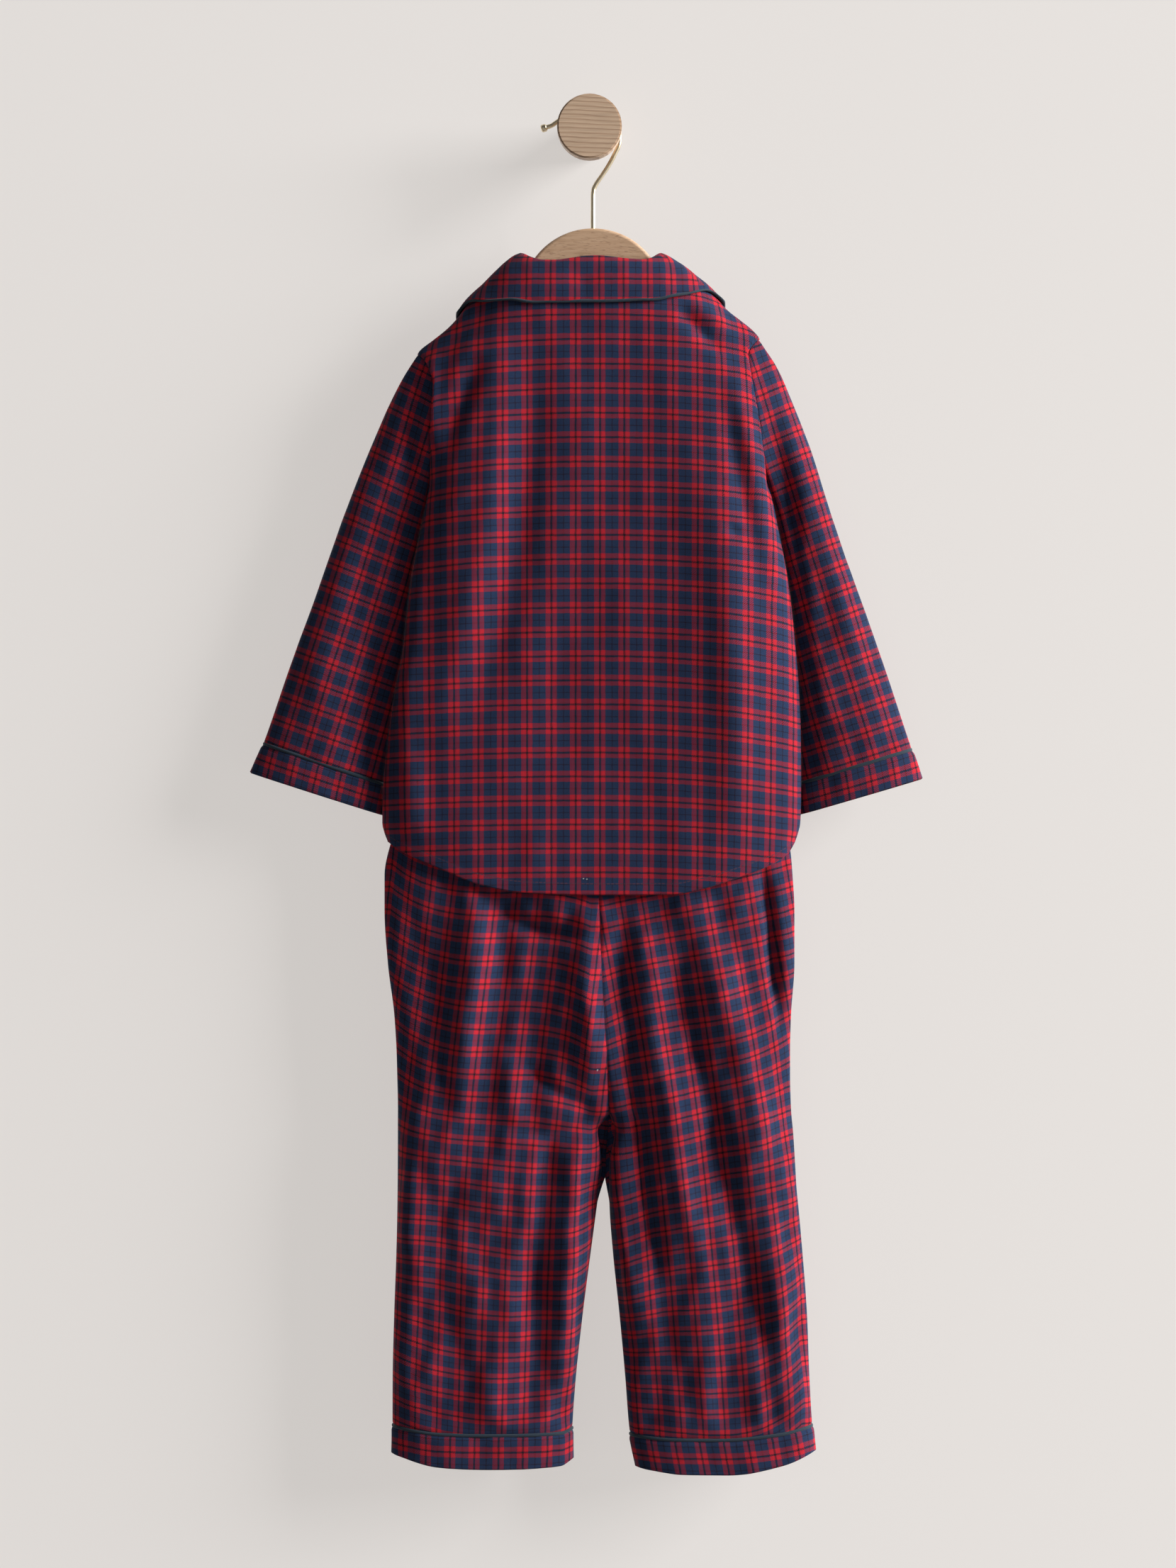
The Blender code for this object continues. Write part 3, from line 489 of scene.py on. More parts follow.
# %% Outlines of the top
SIGN = {"left": -1, "right": 1}
SIDES = table("left_x left_z right_x right_z reach", [
    (-153.0, -541.0, 156.0, -541.0, 0.0),
    (-157.5, -527.0, 160.3, -527.0, 0.0),
    (-157.2, -507.0, 161.0, -507.0, 0.0),
    (-153.0, -463.0, 160.8, -463.0, 0.0),
    (-147.5, -425.0, 159.3, -425.0, 0.0),
    (-141.8, -397.0, 157.0, -397.0, 0.0),
    (-137.8, -361.0, 153.4, -361.0, 0.0),
    (-134.3, -336.0, 149.9, -336.0, 0.0),
    (-129.4, -311.0, 144.8, -310.0, 0.0),
    (-124.6, -286.0, 139.6, -284.0, 0.0),
    (-121.4, -266.0, 134.4, -264.0, 0.0),
    (-119.3, -240.0, 129.6, -240.0, 6.0),
    (-117.0, -218.0, 126.6, -217.0, 11.0),
    (-116.2, -194.0, 122.0, -188.0, 14.0),
    (-120.5, -181.0, 120.2, -171.0, 13.0),
    (-130.5, -169.5, 129.0, -157.5, 9.0),
])
RIDGE = table("x z", [
    (-132.0, -170.5), (-128.0, -166.0), (-120.0, -160.0), (-107.0, -149.5), (-100.0, -142.0),
    (-92.0, -131.5), (-80.0, -119.5), (-69.0, -108.5), (-55.0, -97.0), (-30.0, -89.0),
    (2.0, -85.5), (34.0, -89.0), (56.0, -96.5), (74.0, -108.5), (88.0, -119.5),
    (98.0, -129.0), (105.0, -136.5), (114.0, -143.5), (124.0, -151.5), (130.5, -158.5),
])
BACK_NECK = table("x z", [(-57.0, -98.5), (-36.0, -106.5), (2.0, -110.0), (38.0, -106.5),
                          (58.0, -98.0)])
FRONT_NECK = table("x z", [(-12.0, -181.0), (8.0, -178.0), (28.0, -168.0), (41.0, -148.0),
                           (54.0, -123.0), (62.0, -101.5)])
BACK_HEM = table("x z", [
    (-153.0, -541.0), (-145.0, -546.5), (-110.5, -562.0), (-83.0, -573.0), (-50.0, -579.0),
    (5.0, -580.8), (63.0, -580.5), (80.0, -577.5), (114.5, -567.0), (149.0, -551.0),
    (156.0, -541.0),
])
print("side knots:", len(SIDES["reach"]), "shoulder knots:", len(RIDGE["x"]))

# %% Outlines of the sleeves, the collar and the trousers
SLEEVES = {
    "left": table("x z inner_z depth", [
        (-131.6, -170.8, -267.0, 11.0), (-143.6, -191.0, -275.0, 12.0),
        (-154.4, -213.0, -288.0, 13.0), (-168.3, -245.0, -310.0, 14.0),
        (-181.4, -278.0, -338.0, 14.0), (-197.0, -321.0, -375.0, 14.0),
        (-212.0, -364.0, -410.0, 14.0), (-228.0, -407.5, -446.0, 14.0),
        (-248.5, -466.5, -497.5, 14.0), (-258.2, -488.5, -520.5, 14.0),
    ]),
    "right": table("x z inner_z depth", [
        (130.4, -159.4, -265.0, 11.0), (143.0, -180.0, -273.0, 12.0),
        (157.2, -213.0, -286.0, 13.0), (169.3, -245.0, -310.0, 14.0),
        (179.6, -278.0, -338.0, 14.0), (193.8, -321.0, -375.0, 14.0),
        (209.3, -364.0, -410.0, 14.0), (224.5, -407.5, -446.0, 14.0),
        (245.6, -471.0, -496.5, 14.0), (253.6, -493.0, -520.0, 14.0),
    ]),
}
COLLAR = table("fold_x fold_turn edge_x edge_turn", [
    (-17.0, 97.0, -60.0, 98.0), (-28.0, 80.0, -79.0, 80.0), (-40.0, 55.0, -93.0, 57.0),
    (-49.0, 27.0, -100.0, 27.0), (-53.0, 0.0, -99.0, 0.0), (-48.0, -22.0, -91.0, -17.0),
    (-36.0, -36.0, -76.0, -45.0), (-18.0, -40.5, -40.0, -73.5), (3.0, -40.0, 3.0, -78.5),
    (24.0, -39.0, 45.0, -71.0), (41.0, -35.0, 76.0, -44.0), (51.0, -22.0, 91.0, -17.0),
    (55.0, 0.0, 101.0, 0.0), (51.0, 27.0, 102.0, 27.0), (42.0, 55.0, 95.0, 57.0),
    (30.0, 80.0, 81.0, 80.0), (19.0, 97.0, 62.0, 98.0),
])
TROUSERS = table("z left_outer left_inner right_inner right_outer depth", [
    (-495.0, -126.0, 4.0, 4.0, 128.0, 11.0), (-517.0, -131.0, 4.5, 4.5, 133.0, 12.0),
    (-532.0, -146.0, 5.2, 5.2, 147.0, 14.0), (-545.0, -152.0, 6.0, 6.0, 152.5, 15.0),
    (-567.0, -156.0, 6.8, 6.8, 154.6, 16.0), (-593.0, -156.0, 7.7, 7.7, 156.0, 16.5),
    (-634.0, -153.4, 9.0, 9.0, 156.0, 17.0), (-673.0, -148.5, 11.1, 11.1, 153.4, 17.5),
    (-700.0, -146.8, 12.8, 13.0, 152.6, 18.0), (-720.0, -146.2, 14.1, 14.1, 152.6, 18.0),
    (-738.0, -145.7, 15.0, 15.0, 153.0, 18.0), (-747.0, -145.6, 15.1, 15.3, 153.4, 18.0),
    (-752.0, -145.6, 12.4, 16.8, 153.8, 18.0), (-760.0, -145.6, 6.2, 20.0, 154.6, 18.0),
    (-788.0, -145.7, 9.3, 15.2, 156.4, 17.5), (-805.0, -145.8, 7.3, 15.2, 157.4, 17.5),
    (-821.0, -146.0, 5.2, 15.6, 159.0, 17.0), (-855.0, -146.8, 0.6, 18.2, 162.0, 17.0),
    (-901.0, -148.4, -5.3, 23.0, 165.4, 16.5), (-953.0, -149.6, -10.9, 27.8, 167.4, 16.0),
    (-988.0, -149.7, -13.2, 30.6, 169.6, 16.0), (-1022.0, -150.0, -14.0, 36.8, 174.5, 16.0),
])
LEG_HEMS = {
    "left": table("across z", [(0.0, -1006.5), (0.27, -1015.5), (0.53, -1017.0),
                               (0.94, -1015.0), (1.0, -1010.5)]),
    "right": table("across z", [(0.0, -1004.5), (0.2, -1014.5), (0.5, -1021.2),
                                (0.75, -1020.8), (1.0, -1016.5)]),
}
print("collar knots:", len(COLLAR["fold_x"]), "trouser knots:", len(TROUSERS["z"]))

# %% [markdown]
# ## The form of the top
# A garment on a hanger is a flat bag. Across it, its depth follows sqrt(1 - s^4), and over
# the hanger it rounds as a quarter of an ellipse. Each panel is a Coons patch between its
# four edges, laid on that form. It could be modelled by hand with subdivision, but then no
# seam would lie exactly where its neighbour's does.

# %% Form and patches
SEAM = 0.3                          # gap between two pieces at a seam
PIPING_WIDTH, PIPING_THICK = 2.8, 2.2
SHOULDER_ROUND = 60.0               # how far down the cloth rounds over the hanger
BACK_DEPTH, FRONT_DEPTH = 22.0, 20.0
BUTTON_STAND, STAND_OFFSET = 12.0, 1.2
FRONT_HEM_LIFT, FRONT_HEM_CURVE = 10.0, 0.02
BACK_HEIGHT, FRONT_HEIGHT = 440.0, 430.0


def ridge_height(x):
    """Height of the shoulder seam, or of the arch over the neck, at x."""
    return smooth(x, RIDGE["x"], RIDGE["z"])


def top_width_depth(x, z, full):
    """Depth of the top's form across its width: full in the middle and 0 at its sides."""
    left = smooth(z, SIDES["left_z"], SIDES["left_x"] - SIDES["reach"])
    right = smooth(z, SIDES["right_z"], SIDES["right_x"] + SIDES["reach"])
    return full * rounded(np.clip((2 * x - left - right) / (right - left), -1, 1))


def top_depth(x, z, full):
    """Distance of the top's cloth from the middle plane at x and z."""
    fall = np.clip((ridge_height(x) - z) / SHOULDER_ROUND, 0, 1)
    return top_width_depth(x, z, full) * np.sqrt(1 - (1 - fall) ** 2)


def overlap_shift(x, sign):
    """How far a front lies out of the form: the left front is on top where they overlap."""
    return -sign * STAND_OFFSET * ramp(-sign * x, -45.0, -18.0)


def over_shoulder(x, turn):
    """Points of the top by x and turn over the shoulder.

    z = ridge - round (1 - cos turn) and y = middle + depth sin turn, joined over the seam.
    Past a quarter turn it goes on straight down.
    """
    angle = np.radians(turn)
    over = np.clip(np.abs(angle) - np.pi / 2, 0, None)
    angle = np.clip(angle, -np.pi / 2, np.pi / 2)
    z = ridge_height(x) - SHOULDER_ROUND * (1 - np.cos(angle) + over)
    full = np.where(angle < 0, BACK_DEPTH, FRONT_DEPTH)
    shift = overlap_shift(x, np.sign(x)) * np.clip(np.sin(angle), 0, 1)
    return stacked(x, HANG_Y + top_width_depth(x, z, full) * np.sin(angle) + shift, z)


chest = top_depth(np.array([0.0]), np.array([-300.0]), BACK_DEPTH)[0]
print("depth at the chest: %.1f mm" % chest)


# %% Patches and edges
def patch(bottom, top, left, right, s, t):
    """A Coons patch: x and z inside four edges, from the edges' own points.

    It is the surface ruled from bottom to top plus the one ruled from left to right, less
    the one ruled between the four corners.
    """
    s, t = s[None, :, None], t[:, None, None]
    up = (1 - t) * bottom[None] + t * top[None]
    along = (1 - s) * left[:, None] + s * right[:, None]
    corners = ((1 - s) * (1 - t) * bottom[0] + s * (1 - t) * bottom[-1]
               + (1 - s) * t * top[0] + s * t * top[-1])
    return up + along - corners


def fine_rows(height, count, lead=(0.0, 0.6, 1.4, 2.4)):
    """Fractions of the way up a panel, close together at its rims and where it rounds."""
    turn = np.radians(np.linspace(0, 80, 26))
    near = np.concatenate([lead[:1], SHOULDER_ROUND * (1 - np.cos(turn))[3:]])
    near = np.unique(np.concatenate([lead, near]))
    far = np.linspace(near[-1], height - lead[-1], count)[1:]
    down = np.concatenate([near, far, height - np.array(lead[2::-1])])
    return 1 - down[::-1] / height


def side_edge(side, t):
    """x and z of the top's left or right edge, t of the way from the hem to the shoulder."""
    column_x, column_z = SIDES[side + "_x"], SIDES[side + "_z"]
    z = column_z[0] + (column_z[-1] - column_z[0]) * t
    return np.stack([smooth(z, column_z, column_x), z], axis=-1)


def edge_line(x, *tables):
    """x and z along an edge that is cut from one or more tables joined end to end."""
    knots = np.concatenate([one["x"] for one in tables])
    heights = np.concatenate([one["z"] for one in tables])
    return np.stack([x, smooth(x, knots, heights)], axis=-1)


def part_of(source, low, high):
    """The rows of a table whose x lies from low to high."""
    keep = (source["x"] >= low) & (source["x"] <= high)
    return {key: column[keep] for key, column in source.items()}


print("rows up the back:", len(fine_rows(BACK_HEIGHT, 140)))

# %% [markdown]
# ## Folds placed one by one
# Flannel this small and light hangs almost flat, with a few soft folds: long ones that fall
# from the shoulders, pulls at the armholes, and fans below the seat. Each fold is a bent
# line with a width and a height, a ridge where the height is over 0 and a trough where it
# is under 0. A cloth simulation would give folds too, but not these ones, and the same ones
# each time is what a part needs. A few long waves add the unevenness between them.

# %% Fold fields
def fold_field(x, z, folds):
    """Height of the cloth over its form: the sum of its folds.

    A fold runs along a quadratic curve through its start, middle and end. Its height is
    that of a bell exp(-(d / width)^2) across, and fades as a sine to 0 at its two ends.
    """
    height = np.zeros(np.broadcast(x, z).shape)
    share = np.linspace(0, 1, 25)
    for k in range(len(folds["x0"])):
        f = {key: column[k] for key, column in folds.items()}
        bend = 4 * share * (1 - share)
        line_x = f["x0"] + (f["x2"] - f["x0"]) * share + bend * (f["x1"] - (f["x0"] + f["x2"]) / 2)
        line_z = f["z0"] + (f["z2"] - f["z0"]) * share + bend * (f["z1"] - (f["z0"] + f["z2"]) / 2)
        reach = 3 * f["width"]
        near = ((x > line_x.min() - reach) & (x < line_x.max() + reach)
                & (z > line_z.min() - reach) & (z < line_z.max() + reach))
        px, pz = x[near][:, None], z[near][:, None]
        ax, az, bx, bz = line_x[:-1], line_z[:-1], np.diff(line_x), np.diff(line_z)
        along = np.clip(((px - ax) * bx + (pz - az) * bz) / (bx ** 2 + bz ** 2), 0, 1)
        away = np.hypot(px - ax - along * bx, pz - az - along * bz)
        best = away.argmin(axis=1)
        rows = np.arange(len(best))
        place = (best + along[rows, best]) / (len(share) - 1)
        fade = np.sin(np.pi * np.clip(place, 0, 1)) ** 0.9
        height[near] += f["height"] * fade * np.exp(-(away[rows, best] / f["width"]) ** 2)
    return height


WAVES = table("length_x length_z phase size", [
    (91.0, 310.0, 0.7, 0.45), (57.0, -240.0, 2.1, 0.35), (143.0, 96.0, 4.0, 0.35),
    (38.0, 170.0, 5.2, 0.22), (-66.0, 83.0, 1.3, 0.20), (27.0, -130.0, 3.3, 0.12),
    (23.0, 61.0, 0.2, 0.10), (-31.0, 44.0, 2.6, 0.09), (17.0, -39.0, 4.4, 0.06),
])


def unevenness(x, z, shift=0.0):
    """Long low waves that cross each other: a sum of sines of different lengths."""
    total = np.zeros(np.broadcast(x, z).shape)
    for k, (lx, lz, phase, size) in enumerate(zip(*WAVES.values())):
        total += size * np.sin(2 * np.pi * (x / lx + z / lz) + phase + shift * (k + 1))
    return total


def seam_roll(*distances, depth=0.55, width=1.3):
    """The cloth dips beside a seam: depth exp(-(d / width)^2) for each seam's distance."""
    return -depth * sum(np.exp(-(d / width) ** 2) for d in distances)


print("a seam dips by %.2f mm" % -seam_roll(0.0))

# %% Folds of the top
FOLD_COLUMNS = "x0 z0 x1 z1 x2 z2 width height"
BACK_FOLDS = table(FOLD_COLUMNS, [
    (-70, -146, -78, -300, -120, -462, 13, 2.6),   # long soft ridge down the left shoulder
    (-45, -146, -51, -300, -88, -465, 14, -2.4),
    (-97, -160, -103, -300, -130, -470, 22, 3.8),  # and the flat left of it
    (-131, -258, -138, -400, -142, -568, 12, 3.8),
    (-118, -170, -121, -202, -118, -246, 8, 4.2),  # beside the left armhole
    (-82, -172, -96, -206, -110, -256, 8, -3.4),
    (-118, -294, -100, -284, -80, -270, 6, 1.2),
    (102, -272, 108, -410, 114, -580, 14, 3.0),    # ridge down the right side
    (98, -168, 104, -360, 108, -578, 44, 5.8),
    (109, -178, 123, -265, 141, -362, 8, 3.2),     # fold that falls from the right armhole
    (104, -205, 112, -262, 124, -330, 7, -1.6),
    (66, -138, 82, -151, 101, -171, 6, -2.4),      # pull from the collar to the armhole
    (74, -132, 92, -142, 112, -160, 6, 1.8),
    (102, -299, 108, -306, 114, -309, 4, -1.6),    # small pucker
    (-70, -128, -92, -150, -112, -176, 8, -1.4),
    (30, -300, 34, -400, 28, -520, 20, 0.8),
    (-20, -330, -24, -430, -20, -540, 18, -0.8),
    (-130, -470, -132, -510, -128, -545, 8, 1.2),
    (66, -470, 70, -530, 64, -578, 14, 1.0),
    (-45, -500, -42, -545, -46, -580, 11, 0.9),
])
FRONT_FOLDS = table(FOLD_COLUMNS, [
    (-88, -200, -84, -330, -90, -500, 13, 1.8), (-66, -220, -64, -340, -66, -480, 11, -1.4),
    (-112, -210, -114, -310, -122, -420, 8, 1.4), (92, -200, 96, -330, 104, -500, 12, 1.9),
    (72, -210, 74, -340, 82, -470, 12, -1.6), (120, -250, 122, -350, 130, -470, 8, 1.6),
    (30, -230, 34, -330, 30, -430, 8, -0.9), (-28, -250, -32, -350, -30, -460, 9, -0.9),
    (-118, -215, -92, -235, -60, -236, 8, -1.2), (118, -205, 96, -226, 66, -232, 8, -1.2),
    (-60, -480, -64, -530, -58, -568, 12, 1.2), (50, -470, 56, -520, 50, -566, 12, 1.1),
])
print("folds on the back:", len(BACK_FOLDS["x0"]), "on the fronts:", len(FRONT_FOLDS["x0"]))

# %% [markdown]
# The check hangs almost square on the back: its lengthwise stripes are plumb, and its cross
# stripes bow down a little towards the side seams, most at the shoulders. So a point's place
# on the cloth is worked out from its place on the wall, with the distance that the cloth
# travels in depth added on.

# %% Places on the cloth of the top
STRIPE_X = 7.6          # x of the lengthwise red pair nearest the middle
STRIPE_Z = -178.8       # z of a cross red pair on the middle line
ROW_GAP = 18.6          # between cross pairs at the top, a little less further down
ROW_CLOSING = 3.78e-5   # how fast that gap closes, for each millimetre down
BOW = table("z left right", [(-180.0, 5.8, 4.4), (-300.0, 4.4, 3.8), (-420.0, 2.3, 4.4),
                             (-480.0, 1.5, 4.1), (-530.0, 1.1, 2.9)])


def top_check(x, z):
    """Places on the cloth, across and along, of points of the top, before its depth."""
    size = np.where(x < 0, smooth(z, BOW["z"], BOW["left"]), smooth(z, BOW["z"], BOW["right"]))
    level = z + size * np.abs(x / 95.0) ** 2.3
    down = STRIPE_Z - level
    along = down / ROW_GAP * (1 + ROW_CLOSING * down) * REPEAT
    return x - STRIPE_X + PAIR, along + PAIR


def with_depth(across, along, grid, column, upwards=True):
    """Adds what the cloth travels in depth: along each row from one column, and upwards."""
    step = np.hypot(np.diff(grid[..., 0], axis=1), np.diff(grid[..., 1], axis=1))
    extra = np.cumsum(np.pad(step - np.abs(np.diff(grid[..., 0], axis=1)), [(0, 0), (1, 0)]),
                      axis=1)
    turned = np.sign(across[:, -1:] - across[:, :1])
    across = across + turned * (extra - extra[:, column:column + 1])
    rise = np.hypot(np.diff(grid[..., 2], axis=0), np.diff(grid[..., 1], axis=0))
    more = np.cumsum(np.pad(rise - np.abs(np.diff(grid[..., 2], axis=0)), [(1, 0), (0, 0)]),
                     axis=0)
    return np.stack([across, along - (more if upwards else -more)], axis=-1)


print("check at the middle of the back:", [float(round(v, 1)) for v in top_check(0.0, -300.0)])

# %% [markdown]
# ## The back of the top
# The back is one piece, cut with a low neck and a shirt-tail hem. Its hem is folded twice
# and stitched, so the cloth is a little thicker there.

# %% The back of the top
HEM_FOLD, HEM_DIP = 0.7, 0.35      # how much a folded hem adds, and its stitches take


def hem_thickness(distance):
    """The cloth's thickness: doubled under in a hem, with a dip along its stitches."""
    fold = HEM_FOLD * (1 - ramp(distance, HEM_STITCH - 0.6, HEM_STITCH + 0.8))
    return WALL + fold - HEM_DIP * np.exp(-((distance - HEM_STITCH) / 0.9) ** 2)


def make_top_back():
    t = fine_rows(BACK_HEIGHT, 140)
    left, right = side_edge("left", t), side_edge("right", t)
    neck = (BACK_NECK["x"][[0, -1]] - left[-1, 0]) / (right[-1, 0] - left[-1, 0])
    side = 1 - np.cos(np.linspace(0, np.pi / 2, 32))
    middle = np.linspace(0, 1, 56)[1:-1]
    s = np.concatenate([neck[0] * side, neck[0] + (neck[1] - neck[0]) * middle,
                        1 - (1 - neck[1]) * side[::-1]])
    x_top = left[-1, 0] + (right[-1, 0] - left[-1, 0]) * s
    x_hem = left[0, 0] + (right[0, 0] - left[0, 0]) * s
    top = edge_line(x_top, part_of(RIDGE, -200, -60), BACK_NECK, part_of(RIDGE, 60, 200))
    top[0], top[-1] = left[-1], right[-1]
    flat = patch(edge_line(x_hem, BACK_HEM), top, left, right, s, t)
    x, z = flat[..., 0], flat[..., 1]
    depth = top_depth(x, z, BACK_DEPTH)
    grid = stacked(x, HANG_Y - SEAM / 2 - depth, z)
    hem = travelled(grid, 0)
    above = hem[-1:] - hem
    sides = travelled(grid, 1)
    beside = sides[:, -1:] - sides
    fade = ramp(depth / BACK_DEPTH, 0.08, 0.55)
    relief = (1.5 * fold_field(x, z, BACK_FOLDS) + 0.5 * unevenness(x, z)) * fade
    relief = relief + seam_roll(above, sides, beside)
    middle_column = int(np.abs(x[0]).argmin())
    uv = with_depth(*top_check(x, z), grid, middle_column)
    cuts["top_back"] = cut_of(grid, False)
    thing = cloth_shell("top_back_cloth", grid, uv, relief, hem_thickness(hem), hem=hem)
    return finish_piece(thing, "top_back", flannel)


top_back = make_top_back()
print("back cut to", cuts["top_back"], "faces:", len(top_back.data.polygons))

# %% [markdown]
# ## The fronts
# Each front runs from its side seam to a button stand just past the middle, with the left
# one on top. They face the wall here, so they are finished plainly: a V at the neck, the
# same folds and hem as the back, and a row of stitches down the stand.

# %% The fronts
def make_front(side):
    """One front: from its side seam to the button stand just past the middle."""
    sign = SIGN[side]
    t = fine_rows(FRONT_HEIGHT, 112)
    outer = side_edge(side, t)
    neck_z = smooth(np.array([-BUTTON_STAND]), FRONT_NECK["x"], FRONT_NECK["z"])[0]
    hem_z = BACK_HEM["z"].min() + FRONT_HEM_LIFT
    inner = np.stack([np.full(len(t), -sign * BUTTON_STAND),
                      hem_z + (neck_z - hem_z) * t], axis=-1)
    neck = (sign * FRONT_NECK["x"][-1] - outer[-1, 0]) / (inner[-1, 0] - outer[-1, 0])
    centre = np.concatenate([np.linspace(0, 1, 34)[1:-1], [0.985, 0.993, 1.0]])
    s = np.concatenate([neck * (1 - np.cos(np.linspace(0, np.pi / 2, 28))),
                        neck + (1 - neck) * centre])
    x_top = outer[-1, 0] + (inner[-1, 0] - outer[-1, 0]) * s
    x_hem = outer[0, 0] + (inner[0, 0] - outer[0, 0]) * s
    ridge = part_of(RIDGE, *((-200, -60) if side == "left" else (60, 200)))
    neck = {"x": sign * FRONT_NECK["x"], "z": FRONT_NECK["z"]}
    top = edge_line(x_top, ridge, neck)
    top[0] = outer[-1]
    hem = edge_line(x_hem, BACK_HEM)
    hem[:, 1] = np.maximum(hem[:, 1], hem_z + (hem[:, 1] - hem_z) * FRONT_HEM_CURVE)
    flat = patch(hem, top, outer, inner, s, t)
    x, z = flat[..., 0], flat[..., 1]
    depth = top_depth(x, z, FRONT_DEPTH)
    grid = stacked(x, HANG_Y + SEAM / 2 + depth + overlap_shift(x, sign), z)
    low = travelled(grid, 0)
    above, aside = low[-1:] - low, travelled(grid, 1)
    to_stand = aside[:, -1:] - aside
    fade = ramp(depth / FRONT_DEPTH, 0.15, 0.75) * ramp(np.abs(x), 16.0, 40.0)
    relief = (fold_field(x, z, FRONT_FOLDS) + unevenness(x, z, 1.1)) * fade
    relief = relief + seam_roll(above, aside)
    across, along = top_check(x, z)
    uv = with_depth(-across + 2 * PAIR, along, grid, x.shape[1] - 1)
    cuts["front_" + side] = cut_of(grid, False)
    thing = cloth_shell("front_%s_cloth" % side, grid, uv, relief, hem_thickness(low),
                        hem=np.minimum(low, to_stand + 3.0))
    return finish_piece(thing, "front_" + side, flannel)


fronts = {side: make_front(side) for side in ("left", "right")}
print("fronts cut to", cuts["front_left"], cuts["front_right"])

# %% [markdown]
# ## Piping
# A piping is a bias strip folded over a thin cord, caught in a seam so that only the round
# edge shows. It is an oval carried along the line of the seam, closed on itself round a
# sleeve or a leg. Its cloth is a fine dark twill, whose ribs run aslant round the cord.

# %% Piping cloth
def make_piping_cloth():
    n = Nodes("navy piping")
    place = n.cloth_place()
    split = n.add("ShaderNodeSeparateXYZ", {0: place})
    aslant = n.math('ADD', split.outputs[0], split.outputs[1])
    rib = n.math('PINGPONG', n.math('MULTIPLY', aslant, 1 / 0.0007), 0.5)
    speck = n.noise(place, 1500.0, 3.0, 0.6)
    # painted shade: the colour is paler along the ribs and darker between them, and specks vary it at
    # random; the same sum is the bump's height
    rib_shade_and_speck = n.math('ADD', n.math('MULTIPLY', rib, 0.5), n.math('MULTIPLY', speck, 0.7))
    colour = n.ramp(rib_shade_and_speck, [(0.15, (0.006, 0.011, 0.018)), (0.85, (0.026, 0.045, 0.066))])
    return n.finish(0.8, Base_Color=colour, Normal=n.bump(rib_shade_and_speck, 0.5, 0.00015),
                    Sheen_Weight=0.12, Specular_IOR_Level=0.2)


piping_cloth = make_piping_cloth()
print("piping: %.1f x %.1f mm" % (PIPING_WIDTH, PIPING_THICK))


# %% A cord carried along a line
def carried(name, path, side_way, up_way, wide, high, turns=12, closed=True, ends=0.7):
    """An oval carried along a path: path + cos a wide side + sin a high up, for each point.

    Open ends are closed by two smaller rings and a cap, so that they look turned in.
    """
    angle = all_round(turns)
    size = np.ones(len(path))
    if not closed:
        ahead = unit(np.array([path[0] - path[1], path[-1] - path[-2]]))
        path = np.vstack([path[0] + ahead[0] * ends, path, path[-1] + ahead[1] * ends])
        side_way = np.vstack([side_way[:1], side_way, side_way[-1:]])
        up_way = np.vstack([up_way[:1], up_way, up_way[-1:]])
        size = np.concatenate([[0.45], size, [0.45]])
    ring = (np.cos(angle)[None, :, None] * side_way[:, None] * wide
            + np.sin(angle)[None, :, None] * up_way[:, None] * high)
    points = path[:, None] + ring * size[:, None, None]
    index = joined(np.arange(points.shape[0] * turns).reshape(-1, turns))
    line = np.concatenate([[0], np.cumsum(np.linalg.norm(np.diff(path, axis=0), axis=1))])
    if closed:
        index = np.vstack([index, index[:1]])
        line = np.append(line, line[-1] + np.linalg.norm(path[0] - path[-1]))
    girth = np.pi * (wide + high) * np.linspace(0, 1, turns + 1)
    uv = np.stack(np.broadcast_arrays(line[:, None], girth[None, :]), axis=-1)
    groups, uv_groups = [quads(index)], [quads(uv)]
    if not closed:
        caps = np.stack([index[0, :-1][::-1], index[-1, :-1]])
        groups.append(caps)
        uv_groups.append(np.stack([uv[0, :-1][::-1], uv[-1, :-1]]))
    return make_mesh(name, points.reshape(-1, 3), groups, uv_groups)


def ring_piping(name, node, rings):
    """A closed piping along the middle one of three rings, as wide as the outer two."""
    up = np.roll(rings[1], -1, axis=0) - np.roll(rings[1], 1, axis=0)
    side = unit(rings[2] - rings[0])
    out = unit(np.cross(side, up))
    thing = carried(name, rings[1], side, out, PIPING_WIDTH / 2, PIPING_THICK / 2)
    return finish_piece(thing, node, piping_cloth)


print("twelve points round a piping, %.0f degrees apart" % math.degrees(all_round(12)[1]))

# %% [markdown]
# ## The collar
# A shirt collar is one folded piece: a narrow leaf inside the neck, the fold, and the fall
# that lies on the shoulders. Its path over the shoulders is given by turns, in degrees, and
# the sheet stands a little off the back and the fronts. The fall's edge is piped. Its check
# starts from the middle of the back, and its cross stripes stay level behind the neck.

# %% The collar
COLLAR_OFFSET, COLLAR_STAND = 2.8, 12.0
COLLAR_STRIPE = 21.4      # from the fold down to a cross red pair
LEAF_ROWS, TURN_ROWS = 7, 9
COLLAR_WAVES = table(FOLD_COLUMNS, [
    (-60, -100, -66, -108, -74, -118, 5, 0.7), (66, -100, 72, -108, 80, -118, 5, 0.8),
    (-20, -108, -10, -114, 6, -117, 6, -0.4),
])


